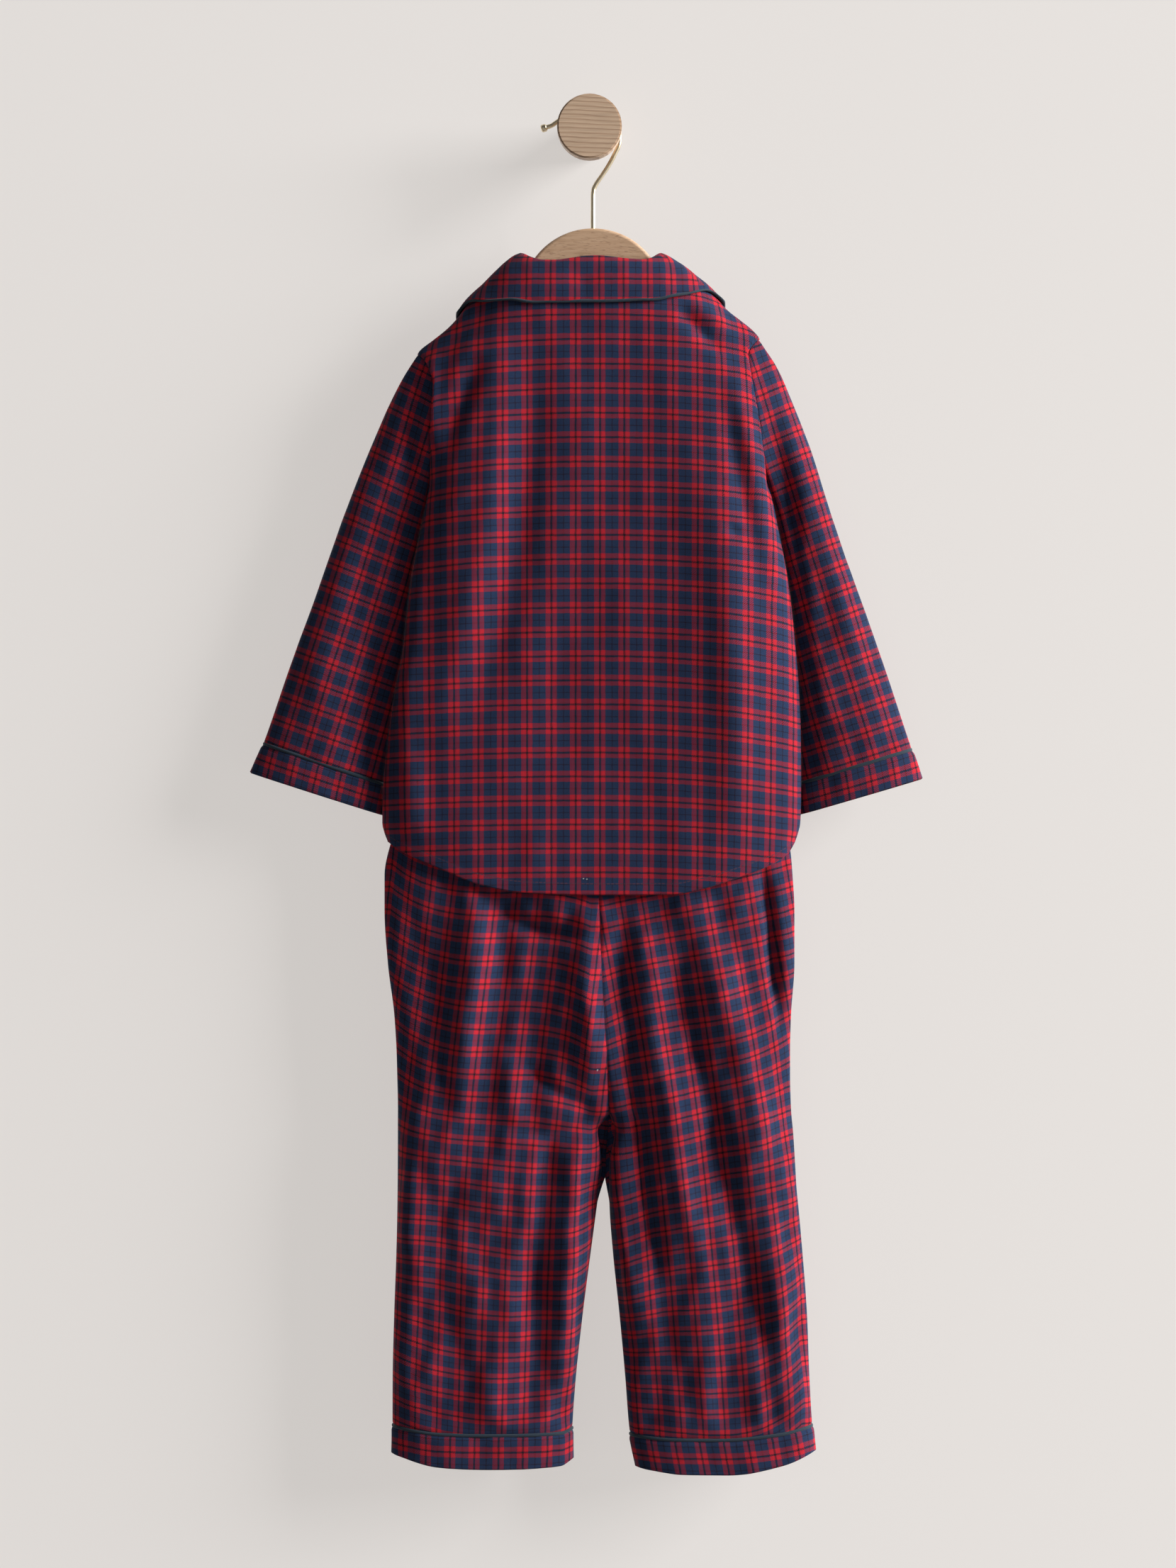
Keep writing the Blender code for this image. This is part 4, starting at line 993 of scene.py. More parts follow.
def make_collar():
    u = np.linspace(0, len(COLLAR["fold_x"]) - 1, 161)
    knots = np.arange(len(COLLAR["fold_x"]), dtype=float)
    fold_x, fold_turn, edge_x, edge_turn = (
        smooth(u, knots, COLLAR[name]) for name in ("fold_x", "fold_turn", "edge_x", "edge_turn"))
    fold, edge = over_shoulder(fold_x, fold_turn), over_shoulder(edge_x, edge_turn)
    fall = np.linalg.norm(edge - fold, axis=1)

    def on_form(along):
        """Points and outward normals of the form, along the way from the fold to the edge."""
        x = fold_x + (edge_x - fold_x) * along
        turn = fold_turn + (edge_turn - fold_turn) * along
        point = over_shoulder(x, turn)
        step_x = over_shoulder(x + 0.5, turn) - over_shoulder(x - 0.5, turn)
        step_turn = over_shoulder(x, turn + 0.5) - over_shoulder(x, turn - 0.5)
        return point, unit(np.cross(step_x, step_turn))

    leaves, fades = [], []
    for share in np.linspace(1.0, 0.12, LEAF_ROWS):
        point, normal = on_form(COLLAR_STAND / fall * share)
        leaves.append(point - COLLAR_OFFSET * normal)
        fades.append(0.0)
    point, normal = on_form(np.zeros(len(u)))
    away = unit(fold - on_form(np.full(len(u), 0.1))[0])
    for turn in np.radians(np.linspace(-60, 60, TURN_ROWS)):
        leaves.append(point + COLLAR_OFFSET * (math.sin(turn) * normal + math.cos(turn) * away))
        fades.append(0.0)
    ends = 1 - (PIPING_WIDTH / 2 + 0.2) / fall
    for share in np.concatenate([[0.05], np.linspace(0.1, 0.96, 20), [0.985, 1.0]]):
        point, normal = on_form(ends * share)
        leaves.append(point + COLLAR_OFFSET * normal)
        fades.append(float(ramp(share, 0.0, 0.3)))
    grid = np.stack(leaves)
    relief = fold_field(grid[..., 0], grid[..., 2], COLLAR_WAVES)
    relief = (relief + 0.5 * unevenness(grid[..., 0] * 1.6, grid[..., 2] * 1.6, 2.0))
    relief = relief * np.array(fades)[:, None] * (grid[..., 1] < HANG_Y)
    fold_row, middle = LEAF_ROWS + TURN_ROWS // 2, len(u) // 2
    along = travelled(grid, 0)
    down = along - along[fold_row]
    round_it = travelled(grid, 1)
    across = round_it - round_it[:, middle:middle + 1] + PAIR - 4.0
    fall_row = fold_row + 3       # from here on, the middle line falls all the way
    plumb = np.interp(-grid[..., 2], -grid[fall_row:, middle, 2], down[fall_row:, middle])
    behind = ramp(HANG_Y - grid[..., 1], 0.0, 9.0) * ramp(down, -2.0, 4.0)
    down = down + behind * (plumb - down)
    uv = np.stack([across, down - COLLAR_STRIPE + PAIR], axis=-1)
    cuts["collar"] = cut_of(grid, False)
    thing = cloth_shell("collar_cloth", grid, uv, relief)
    finish_piece(thing, "collar", flannel)
    point, normal = on_form(1 - PIPING_WIDTH / 2 / fall)
    line = point + COLLAR_OFFSET * normal
    side = unit(edge - fold)
    piping = carried("collar_piping_cord", line, side, normal, PIPING_WIDTH / 2,
                     PIPING_THICK / 2, closed=False)
    return thing, finish_piece(piping, "collar_piping", piping_cloth)


collar, collar_piping = make_collar()
print("collar cut to", cuts["collar"])

# %% [markdown]
# ## Sleeves
# A sleeve is a tapering tube, set in at the armhole and flattened by its own weight. Its
# rings are ovals from the outer edge over the side away from the wall to the inner edge
# beside the body, where its one seam is. The cloth was cut on the straight, but it hangs
# from the shoulder, so the check leans with the sleeve and its cross stripes slant.

# %% Sizes, check and folds of the sleeves
SLEEVE_CLEAR, SLEEVE_BACK, ARMHOLE_CLEAR, CUFF = 1.0, 7.0, 0.9, 23.0
SLEEVE_LEAN = math.radians(17.0)
SLEEVE_LOOK = {     # a known point of the sleeve, and where its nearest red pairs lie
    "left": {"x": -185.0, "z": -370.0, "across": 0.3, "along": 1.8},
    "right": {"x": 190.0, "z": -370.0, "across": -6.4, "along": 0.0},
}
SLANTS = {          # how steeply the cross stripes fall towards the body, in degrees
    "left": table("z slant", [(-200, 29), (-270, 25), (-340, 21.5), (-420, 20), (-500, 19)]),
    "right": table("z slant", [(-200, 25), (-270, 23), (-340, 21.5), (-420, 19.5), (-500, 17)]),
}
SLEEVE_STRETCH = 1.025
SLEEVE_FOLDS = {
    "left": table(FOLD_COLUMNS, [
        (-127, -190, -136, -250, -150, -330, 8, -2.6), (-134, -178, -150, -235, -172, -300, 9, 1.8),
        (-150, -245, -172, -330, -196, -430, 10, -1.3), (-172, -270, -200, -370, -226, -470, 9, 1.4),
        (-140, -300, -152, -370, -176, -460, 9, 1.5), (-150, -395, -175, -402, -200, -392, 7, -0.9),
        (-165, -440, -190, -462, -215, -466, 7, 0.9),
    ]),
    "right": table(FOLD_COLUMNS, [
        (130, -185, 139, -250, 154, -330, 8, -2.6), (139, -172, 152, -235, 170, -300, 9, 1.8),
        (152, -245, 172, -330, 194, -430, 10, -1.3), (170, -270, 196, -370, 222, -470, 9, 1.4),
        (146, -300, 158, -370, 180, -460, 9, 1.5), (160, -380, 182, -392, 204, -386, 7, -0.9),
        (170, -430, 194, -452, 216, -456, 7, 0.8),
    ]),
}
SLEEVE_HOLLOWS = {     # where the sleeve sinks behind the body that hangs beside it
    "left": table(FOLD_COLUMNS, [(-148, -215, -164, -370, -168, -540, 20, -4.5)]),
    "right": table(FOLD_COLUMNS, [(139, -190, 156, -330, 170, -540, 8, -5.0)]),
}
print("folds on each sleeve:", [len(folds["x0"]) for folds in SLEEVE_FOLDS.values()])


# %% Rings of a sleeve and places on its cloth
def sleeve_rings(side, rows, phi):
    """Rings of a sleeve: rows are places in its table, phi the turn round the tube.

    x, z = middle + half the width cos phi, and y = middle - depth sin phi. The first rings
    are drawn to the armhole's own edge.
    """
    sizes, sign = SLEEVES[side], SIGN[side]
    knots = np.arange(len(sizes["x"]), dtype=float)
    outer_x, outer_z, inner_z, depth = (
        smooth(rows, knots, sizes[name])[:, None] for name in ("x", "z", "inner_z", "depth"))

    def body_edge(z):
        return smooth(z, SIDES[side + "_z"], SIDES[side + "_x"])

    inner_x = body_edge(inner_z) + sign * SLEEVE_CLEAR
    behind = SLEEVE_BACK * ramp(rows, 0.0, 3.0)[:, None]
    cos, sin = np.cos(phi)[None, :], np.sin(phi)[None, :]
    x = (outer_x + inner_x) / 2 + (outer_x - inner_x) / 2 * cos
    z = (outer_z + inner_z) / 2 + (outer_z - inner_z) / 2 * cos
    y = HANG_Y + behind - depth * sin

    hole_z = z[:1]
    edge_x = body_edge(hole_z)
    hole_y = np.where(sin > 0, -top_depth(edge_x, hole_z, BACK_DEPTH),
                      top_depth(edge_x, hole_z, FRONT_DEPTH))
    fade = np.clip(1 - rows[:, None] / 3.0, 0, 1) ** 2
    x = x + fade * (edge_x + sign * ARMHOLE_CLEAR - x[:1])
    y = y + fade * (HANG_Y + hole_y - y[:1])
    return stacked(x, y, z)


def tube_check(grid, along, across):
    """Places on the cloth of a tube, one column more than the grid, from its own seam.

    along is each point's place down the tube. across, in the wall's plane, is measured
    square to the lengthwise stripes; round the tube it grows by hypot(its step, depth's).
    """
    step = np.hypot(np.diff(joined(across), axis=1), np.diff(joined(grid[..., 1]), axis=1))
    round_it = np.cumsum(np.pad(step, [(0, 0), (1, 0)]), axis=1)
    quarter = grid.shape[1] // 4
    turned = np.sign(across[0, quarter + 1] - across[0, quarter - 1])
    round_it = (round_it - round_it[:, quarter:quarter + 1]) * turned + across[:, quarter:quarter + 1]
    return np.stack([round_it, joined(along)], axis=-1)


print("the check leans by %.0f degrees on a sleeve" % math.degrees(SLEEVE_LEAN))


# %% The sleeves
SLEEVE_TURNS = 96


def make_sleeve(side):
    sign, phi = SIGN[side], all_round(SLEEVE_TURNS)
    last = len(SLEEVES[side]["x"]) - 1
    rows = np.concatenate([[0, 0.015, 0.04, 0.08], np.linspace(0.14, last - 1.04, 130),
                           [last - 1.02, last - 1.0]])
    grid = sleeve_rings(side, rows, phi)
    look, x, z = SLEEVE_LOOK[side], grid[..., 0], grid[..., 2]
    down_x, down_z = sign * math.sin(SLEEVE_LEAN), -math.cos(SLEEVE_LEAN)
    along = (x - look["x"]) * down_x + (z - look["z"]) * down_z
    across = (x - look["x"]) * -down_z + (z - look["z"]) * down_x
    slant = np.radians(smooth(z, SLANTS[side]["z"], SLANTS[side]["slant"])) - SLEEVE_LEAN
    level = (along + sign * across * np.tan(slant)) * SLEEVE_STRETCH - look["along"] + PAIR
    uv = tube_check(grid, level, across * SLEEVE_STRETCH - look["across"] + PAIR)
    on_back = np.clip(np.sin(phi), 0, 1)[None, :] ** 0.6
    on_front = np.clip(-np.sin(phi), 0, 1)[None, :] ** 0.6
    relief = fold_field(x, z, SLEEVE_FOLDS[side]) * (on_back + 0.8 * on_front)
    relief = relief + fold_field(x, z, SLEEVE_HOLLOWS[side]) * on_back
    relief = relief + unevenness(x * 1.2, z * 1.2, 3.0) * (on_back - on_front)
    relief = relief * ramp(rows, 0.0, 0.5)[:, None]
    start = travelled(grid, 0)
    relief = relief + seam_roll(start, start[-1:] - start, depth=0.4)
    cuts["sleeve_" + side] = cut_of(grid, True)
    thing = cloth_shell("sleeve_%s_cloth" % side, grid, uv, relief, closed=True)
    return finish_piece(thing, "sleeve_" + side, flannel)


sleeves = {side: make_sleeve(side) for side in ("left", "right")}
print("sleeves cut to", cuts["sleeve_left"], cuts["sleeve_right"])

# %% [markdown]
# ## Cuffs
# Each cuff is a band sewn on with a piping in the seam. It was cut from another part of the
# cloth, so its check lies square to its own edge and doesn't meet the sleeve's.

# %% The cuffs
# how far the nearest red pairs lie from each band's middle column and from its top edge
BAND_STRIPE = {"cuff_left": (3.0, 11.0), "cuff_right": (9.0, 12.5),
               "hem_band_left": (6.0, 11.5), "hem_band_right": (1.0, 13.0)}


def band(name, rings, stripe):
    """A band round a tube: its check runs along the band and square to it."""
    round_it = travelled(joined(rings), 1)
    across = round_it - round_it[:, rings.shape[1] // 4][:, None] + PAIR + stripe[0]
    down = travelled(joined(rings), 0) + PAIR - stripe[1]
    start = travelled(rings, 0)
    relief = seam_roll(start, depth=0.5) + 0.5 * unevenness(rings[..., 0] * 2, rings[..., 2] * 2)
    full = WALL + 0.8 * ramp(start, 0.5, 3.0)
    cuts[name] = cut_of(rings, True)
    thing = cloth_shell(name + "_cloth", rings, np.stack([across, down], axis=-1), relief, full,
                        closed=True)
    return finish_piece(thing, name, flannel)


def make_cuff(side):
    phi = all_round(SLEEVE_TURNS)
    last = len(SLEEVES[side]["x"]) - 1
    half = PIPING_WIDTH / 2 / CUFF
    rings = sleeve_rings(side, last - 1 + np.array([-half, 0, half]), phi)
    piping = ring_piping("cuff_piping_%s_cord" % side, "cuff_piping_" + side, rings)
    rows = last - 1 + np.array([half * 0.6, 0.08, 0.12, 0.2, 0.35, 0.5, 0.65, 0.8, 0.9, 0.96, 1.0])
    return band("cuff_" + side, sleeve_rings(side, rows, phi), BAND_STRIPE["cuff_" + side]), piping


cuffs = {side: make_cuff(side) for side in ("left", "right")}
print("cuffs cut to", cuts["cuff_left"], cuts["cuff_right"])

# %% [markdown]
# ## Trousers
# Each leg has a back and a front panel, and the two backs meet at the seat seam. Above the
# crotch the section runs across both hips, and below it round each leg. The cloth bulges at
# the seat and hangs in long folds from there, so its check wanders: the slants of the cross
# stripes are given at the outer side, the middle and the inner side of each leg.

# %% Trouser form
WAIST_TOP, WAIST_BAND = -495.0, 22.0
SEAT_TOP, CROTCH, HEM_BAND, HEM_CURVE = -690.0, -750.0, 23.5, 0.55
CROTCH_PUFF = table("z left right", [     # how far the fronts swell past the inner seams
    (-744.0, 0.0, 0.0), (-750.0, 4.4, -4.0), (-761.0, 11.5, -8.5), (-775.0, 7.6, -6.6),
    (-788.0, 6.4, -5.7), (-797.0, 5.2, -4.8), (-806.0, 3.0, -3.0), (-816.0, 0.0, 0.0),
])


def trouser_size(name, z):
    """One column of the trousers' table at a height: the x of an edge, or the depth."""
    return smooth(z, TROUSERS["z"], TROUSERS[name])


def flattened(phi):
    """Depth round a flat hollow form by its turn: sin sqrt(1 + cos^2), which is sqrt(1 - s^4)."""
    return np.sin(phi) * np.sqrt(1 + np.cos(phi) ** 2)


def trouser_points(side, face, phi, z):
    """Points of one leg: phi runs from the outer edge to the inner edge over one face.

    Above SEAT_TOP the section goes across both hips, and at the crotch it goes across one
    leg. Between them the seat seam turns under as a quarter of an ellipse. Below the crotch
    the fronts swell past the inner seams, so that no light shows between them and the backs.
    """
    outer, inner = trouser_size(side + "_outer", z), trouser_size(side + "_inner", z)
    x = outer + (inner - outer) * (1 - np.cos(phi)) / 2
    far_left, far_right = trouser_size("left_outer", z), trouser_size("right_outer", z)
    hips = rounded(np.clip((2 * x - far_left - far_right) / (far_right - far_left), -1, 1))
    leg = np.abs(flattened(phi))
    turned = np.clip((SEAT_TOP - z) / (SEAT_TOP - CROTCH), 0, 1)
    as_hips = np.sqrt(1 - turned ** 2)
    depth = trouser_size("depth", z) * (as_hips * hips + (1 - as_hips) * leg)
    if face > 0:
        puff = np.sin(np.pi * np.clip((phi / np.pi - 0.8) / 0.2, 0, 1))
        reach = smooth(z, CROTCH_PUFF["z"], CROTCH_PUFF[side])
        x = x + reach * puff
    return stacked(x, HANG_Y + face * (SEAM / 2 + depth), z)


def piping_line(side, across):
    """Height of the line where the hem band joins the leg."""
    hem = LEG_HEMS[side]
    curve = smooth(across, hem["across"], hem["z"])
    return curve * HEM_CURVE + hem["z"].mean() * (1 - HEM_CURVE) + HEM_BAND


print("depth at the seat: %.1f mm" % trouser_size("depth", np.array([CROTCH]))[0])

# %% Places on the cloth of the trousers
LEG_LOOK = {
    "left": {"x": -75.0, "z": -800.0, "across": -3.1, "along": 2.7, "reach": 40.0},
    "right": {"x": 85.0, "z": -800.0, "across": 2.5, "along": -2.7, "reach": 40.0},
}
LEG_LEANS = {    # how far the lengthwise stripes lean outwards as they fall, in degrees
    "left": table("z lean", [(-560, 6), (-640, 7), (-720, 6), (-800, 3), (-900, 1.5), (-990, 1)]),
    "right": table("z lean", [(-560, 9), (-640, 9.5), (-720, 8), (-800, 6), (-900, 4.5),
                              (-990, 3.5)]),
}
LEG_SLANTS = {   # how far the cross stripes fall to the right, in degrees, at three places
    "left": table("z low middle high", [
        (-620, 14.5, 0, 4), (-680, 16, 0, 7), (-740, 12, 2, 7), (-800, 7, 7, 2),
        (-860, 9, 9, -2), (-920, 14, 3, -3), (-960, 12, 2, -6.5)]),
    "right": table("z low middle high", [
        (-620, -11, -11, -14), (-680, -13, -9, -19.5), (-740, -11, -13, -16),
        (-800, -17, -12, -12), (-860, -18, -7, -14), (-920, -8, -2, -15), (-960, 0, 4, -15)]),
}
LEG_STRETCH = table("z along", [(-560, 1.06), (-760, 1.08), (-860, 1.14), (-1000, 1.17)])
LEG_ACROSS, LEVEL_STEP = 1.115, 2.0


def leg_check(side, x, z):
    """Places on a leg's cloth, across and along, from the slants of its stripes.

    across = x + the sum of tan(lean) down from the known point. along = -z - the integral of
    tan(slant) from the leg's middle, where the slant is a parabola through three values.
    """
    look, leans, slants = LEG_LOOK[side], LEG_LEANS[side], LEG_SLANTS[side]
    levels = np.arange(-480.0, -1041.0, -LEVEL_STEP)
    drift = np.tan(np.radians(smooth(levels, leans["z"], leans["lean"]))) * LEVEL_STEP
    drift = np.cumsum(drift) - np.interp(-look["z"], -levels, np.cumsum(drift))
    across = (x - look["x"] - SIGN[side] * np.interp(-z, -levels, drift)) * LEG_ACROSS
    scale = smooth(levels, LEG_STRETCH["z"], LEG_STRETCH["along"]) * LEVEL_STEP
    scale = np.cumsum(scale) - np.interp(-look["z"], -levels, np.cumsum(scale))
    low, middle, high = (np.tan(np.radians(smooth(z, slants["z"], slants[name])))
                         for name in ("low", "middle", "high"))
    q = np.clip((x - look["x"]) / look["reach"], -1.9, 1.9)
    slope, bend = (high - low) / 2, (high + low) / 2 - middle
    fall = look["reach"] * (middle * q + slope * q ** 2 / 2 + bend * q ** 3 / 3)
    along = np.interp(-(z + fall), -levels, scale)
    return across - look["across"] + PAIR, along - look["along"] + PAIR


known = leg_check("left", np.array([-75.0]), np.array([-800.0]))
print("check at the left leg's known point:", [float(round(v[0], 1)) for v in known])

# %% Folds of the trousers
FOLD_SIZE = 1.9      # the folds' heights, as a factor of those in the tables
SEAT_FOLDS = table(FOLD_COLUMNS, [
    (-85, -570, -92, -670, -106, -810, 11, 3.8),    # ridge down the left of the seat
    (-62, -570, -68, -670, -84, -810, 10, -3.0),
    (-36, -580, -42, -670, -44, -790, 12, -2.8),
    (-100, -560, -8, -613, 92, -562, 7, -2.2),      # hollow under the top's hem
    (-3, -575, -1, -660, 4, -752, 9, 3.2),          # the cloth tents along the seat seam
    (-66, -590, -38, -608, -8, -600, 6, -1.8),      # swag under the top's hem
    (-110, -600, -112, -660, -108, -730, 10, -1.2),
    (20, -578, 37, -760, 64, -940, 8, -3.6),        # folds that fan out down the right leg
    (31, -578, 62, -755, 104, -955, 10, 3.8),
    (48, -572, 92, -750, 137, -945, 10, -3.6),
    (70, -566, 113, -690, 142, -835, 12, 3.8),
    (131, -556, 140, -620, 146, -695, 5, -5.6),     # deep trough at the right hip
    (14, -758, 25, -840, 42, -955, 7, 2.4),
    (6, -742, -28, -728, -64, -690, 5, -1.8),       # pulls out from the crotch
    (4, -752, -34, -762, -76, -752, 5, -1.4),
    (20, -742, 52, -722, 88, -690, 5, -1.2),
])
LEG_FOLDS = table(FOLD_COLUMNS, [
    (-2, -752, -15, -830, -20, -955, 8, 3.8), (-26, -745, -38, -850, -45, -985, 9, -3.4),
    (-64, -690, -66, -860, -72, -995, 18, 1.1), (-104, -750, -107, -870, -106, -990, 14, -2.0),
    (-136, -740, -137, -860, -138, -980, 9, 1.8), (138, -812, 144, -900, 149, -990, 8, 2.2),
    (120, -890, 126, -940, 130, -992, 6, 1.2), (84, -900, 88, -950, 92, -994, 6, 1.0),
])
HIDDEN_LEG_FOLDS = table(FOLD_COLUMNS, [
    (-78, -570, -80, -700, -82, -860, 11, 3.0), (-52, -580, -50, -700, -52, -840, 9, -2.4),
    (-112, -600, -114, -720, -116, -880, 10, -2.2), (-28, -600, -26, -690, -22, -780, 8, 1.8),
    (86, -570, 88, -700, 94, -860, 11, 3.0), (58, -580, 58, -700, 62, -840, 9, -2.4),
    (122, -600, 124, -720, 130, -880, 9, -2.2), (34, -600, 34, -690, 34, -780, 7, 1.8),
    (8, -744, -28, -726, -62, -694, 5, -2.0), (18, -744, 50, -726, 86, -692, 5, -2.0),
    (4, -756, -34, -766, -74, -756, 5, -1.6), (24, -758, 56, -770, 96, -760, 5, -1.6),
    (-76, -860, -78, -930, -76, -990, 10, 2.2), (-40, -850, -42, -930, -46, -990, 8, -2.2),
    (104, -860, 112, -930, 118, -990, 10, 2.2), (62, -850, 70, -930, 80, -990, 8, -2.2),
])


def leg_relief(x, z, depth, face):
    """Folds of the trousers, which fade out where the cloth turns to its side seams."""
    if face < 0:
        folds = fold_field(x, z, SEAT_FOLDS) + fold_field(x, z, LEG_FOLDS)
    else:
        folds = fold_field(x, z, HIDDEN_LEG_FOLDS)
    folds = folds + 1.2 * unevenness(x * 1.15, z * 1.1, 4.0 + face)
    return FOLD_SIZE * folds * ramp(depth / trouser_size("depth", z), 0.1, 0.75)


print("folds on the trousers' back:", len(SEAT_FOLDS["x0"]) + len(LEG_FOLDS["x0"]))


# %% The trouser panels
def make_trouser_panel(side, part, face):
    """A back or a front panel of one leg, from under the waistband to the hem band."""
    turn = np.linspace(0, np.pi, 64)
    phi = np.concatenate([[0, 0.02], turn[1:-1], [np.pi - 0.02, np.pi]])[None, :]
    top = WAIST_TOP - WAIST_BAND
    bottom = piping_line(side, (1 - np.cos(phi)) / 2) + PIPING_WIDTH / 2 * 0.6
    t = np.concatenate([[0, 0.002, 0.005], np.linspace(0.009, 0.991, 176), [0.995, 0.998, 1.0]])
    grid = trouser_points(side, face, phi, top + (bottom - top) * t[:, None])
    grid[..., 0] += SIGN[side] * SEAM / 2 * (1 - np.cos(phi)) / 2
    x, z = grid[..., 0], grid[..., 2]
    depth = np.abs(grid[..., 1] - HANG_Y)
    aside, down = travelled(grid, 1), travelled(grid, 0)
    relief = leg_relief(x, z, depth, face) * ramp(down[-1:] - down, 0.0, 14.0)
    relief = relief + seam_roll(aside, aside[:, -1:] - aside, down[-1:] - down, depth=0.9)
    across, along = leg_check(side, x, z)
    if face > 0:
        across = 2 * PAIR - across
    uv = with_depth(across, along, grid, 33, upwards=False)
    name = "trouser_%s_%s" % (part, side)
    cuts[name] = cut_of(grid, False)
    thing = cloth_shell(name + "_cloth", grid, uv, relief)
    return finish_piece(thing, name, flannel)


trousers = {(side, part): make_trouser_panel(side, part, face)
            for side in ("left", "right") for part, face in (("back", -1), ("front", 1))}
print("back panels cut to", cuts["trouser_back_left"], cuts["trouser_back_right"])

# %% [markdown]
# ## Hem bands and waistband
# A band with a piping closes each leg, like the cuffs. The waistband is a casing round an
# elastic, which gathers it into many small ripples; the top hides it unless it is seen from
# below.

# %% Hem bands
def leg_ring(side, phi, drops):
    """Rings round a leg, each some way below the piping's line."""
    across = (1 - np.cos(phi)) / 2
    line = piping_line(side, across)[None, :]
    hem = smooth(across, LEG_HEMS[side]["across"], LEG_HEMS[side]["z"])[None, :]
    z = line + (hem - line) * np.asarray(drops)[:, None] / HEM_BAND
    outer, inner = trouser_size(side + "_outer", z), trouser_size(side + "_inner", z)
    x = outer + (inner - outer) * across[None, :]
    return stacked(x, HANG_Y - trouser_size("depth", z) * flattened(phi)[None, :], z)


def make_leg_hem(side):
    phi, half = all_round(128), PIPING_WIDTH / 2
    piping = ring_piping("hem_piping_%s_cord" % side, "hem_piping_" + side,
                         leg_ring(side, phi, (-half, 0, half)))
    drops = np.concatenate([[half * 0.6, 1.6, 2.6], np.linspace(4, HEM_BAND - 2, 8),
                            [HEM_BAND - 0.8, HEM_BAND]])
    name = "hem_band_" + side
    return band(name, leg_ring(side, phi, drops), BAND_STRIPE[name]), piping


leg_hems = {side: make_leg_hem(side) for side in ("left", "right")}
print("hem bands cut to", cuts["hem_band_left"], cuts["hem_band_right"])

# %% The gathered waistband
GATHERS = 86              # ripples round the waist
GATHER_SIZE = 0.55
GATHER_FULLNESS = 1.3     # cloth cut for each length of elastic


def make_waistband():
    phi = all_round(8 * GATHERS)[None, :]
    down = np.linspace(0, WAIST_BAND, 13)
    z = WAIST_TOP - down[:, None]
    left, right = trouser_size("left_outer", z), trouser_size("right_outer", z)
    grid = stacked((left + right) / 2 + (right - left) / 2 * np.cos(phi),
                   HANG_Y - trouser_size("depth", z) * flattened(phi), z)
    puff = np.sin(np.pi * down / WAIST_BAND)[:, None] ** 0.5
    ripple = np.sin(GATHERS * phi + 1.3 * np.sin(5 * phi) + 0.02 * down[:, None])
    relief = GATHER_SIZE * ripple * (0.35 + 0.65 * puff)
    across, along = travelled(joined(grid), 1) * GATHER_FULLNESS, travelled(joined(grid), 0)
    cuts["waistband"] = cut_of(grid, True)
    thing = cloth_shell("waistband_cloth", grid, np.stack([across, along], axis=-1), relief,
                        closed=True)
    return finish_piece(thing, "waistband", flannel)


waistband = make_waistband()
print("waistband cut to", cuts["waistband"])

# %% [markdown]
# ## Buttons
# Four buttons close the fronts. A shirt button is a small dish with a rolled rim and four
# holes. It is worked out as a height over a disc, by radius and turn, with a pit at each
# hole, and two crossed threads hold it down.

# %% Button and thread materials
BUTTON_RADIUS, BUTTON_THICK = 5.5, 2.5
BUTTON_HEIGHTS = (-196.0, -284.0, -372.0, -460.0)
HOLE_OUT, HOLE_RADIUS = 1.25, 0.55


def make_button_material():
    n = Nodes("navy button")
    swirl = n.noise(n.object_place(), 260.0, 3.0)
    colour = n.ramp(swirl, [(0.3, (0.020, 0.028, 0.050)), (0.7, (0.045, 0.060, 0.095))])
    return n.finish(0.32, Base_Color=colour, Normal=n.bump(swirl, 0.15, 0.0001),
                    Coat_Weight=0.2)


def make_thread_material(name, dark, light):
    n = Nodes(name)
    fibres = n.noise(n.object_place(), 3500.0)
    return n.finish(0.8, Base_Color=n.ramp(fibres, [(0.3, dark), (0.7, light)]),
                    Normal=n.bump(fibres, 0.4, 0.0001))


button_material = make_button_material()
dark_thread = make_thread_material("navy thread", (0.02, 0.03, 0.05), (0.05, 0.07, 0.11))
pale_thread = make_thread_material("white thread", (0.55, 0.52, 0.50), (0.78, 0.76, 0.74))
print("buttons: %.0f mm across" % (2 * BUTTON_RADIUS))


# %% The buttons and their threads
def button_height(radius, turn):
    """Height of the face: a shallow dish with a rolled rim, and a pit at each of four holes."""
    rim = 0.45 * np.exp(-((radius - 4.3) / 0.75) ** 2)
    edge = -1.1 * np.clip((radius - 4.4) / (BUTTON_RADIUS - 4.4), 0, 1) ** 2.2
    nearest = np.pi / 4 + np.pi / 2 * np.round((turn - np.pi / 4) / (np.pi / 2))
    away = np.hypot(radius * np.cos(turn) - HOLE_OUT * np.cos(nearest),
                    radius * np.sin(turn) - HOLE_OUT * np.sin(nearest))
    pit = -1.5 * (1 - ramp(away, HOLE_RADIUS * 0.75, HOLE_RADIUS * 1.1))
    return BUTTON_THICK - 0.5 + rim + edge + pit


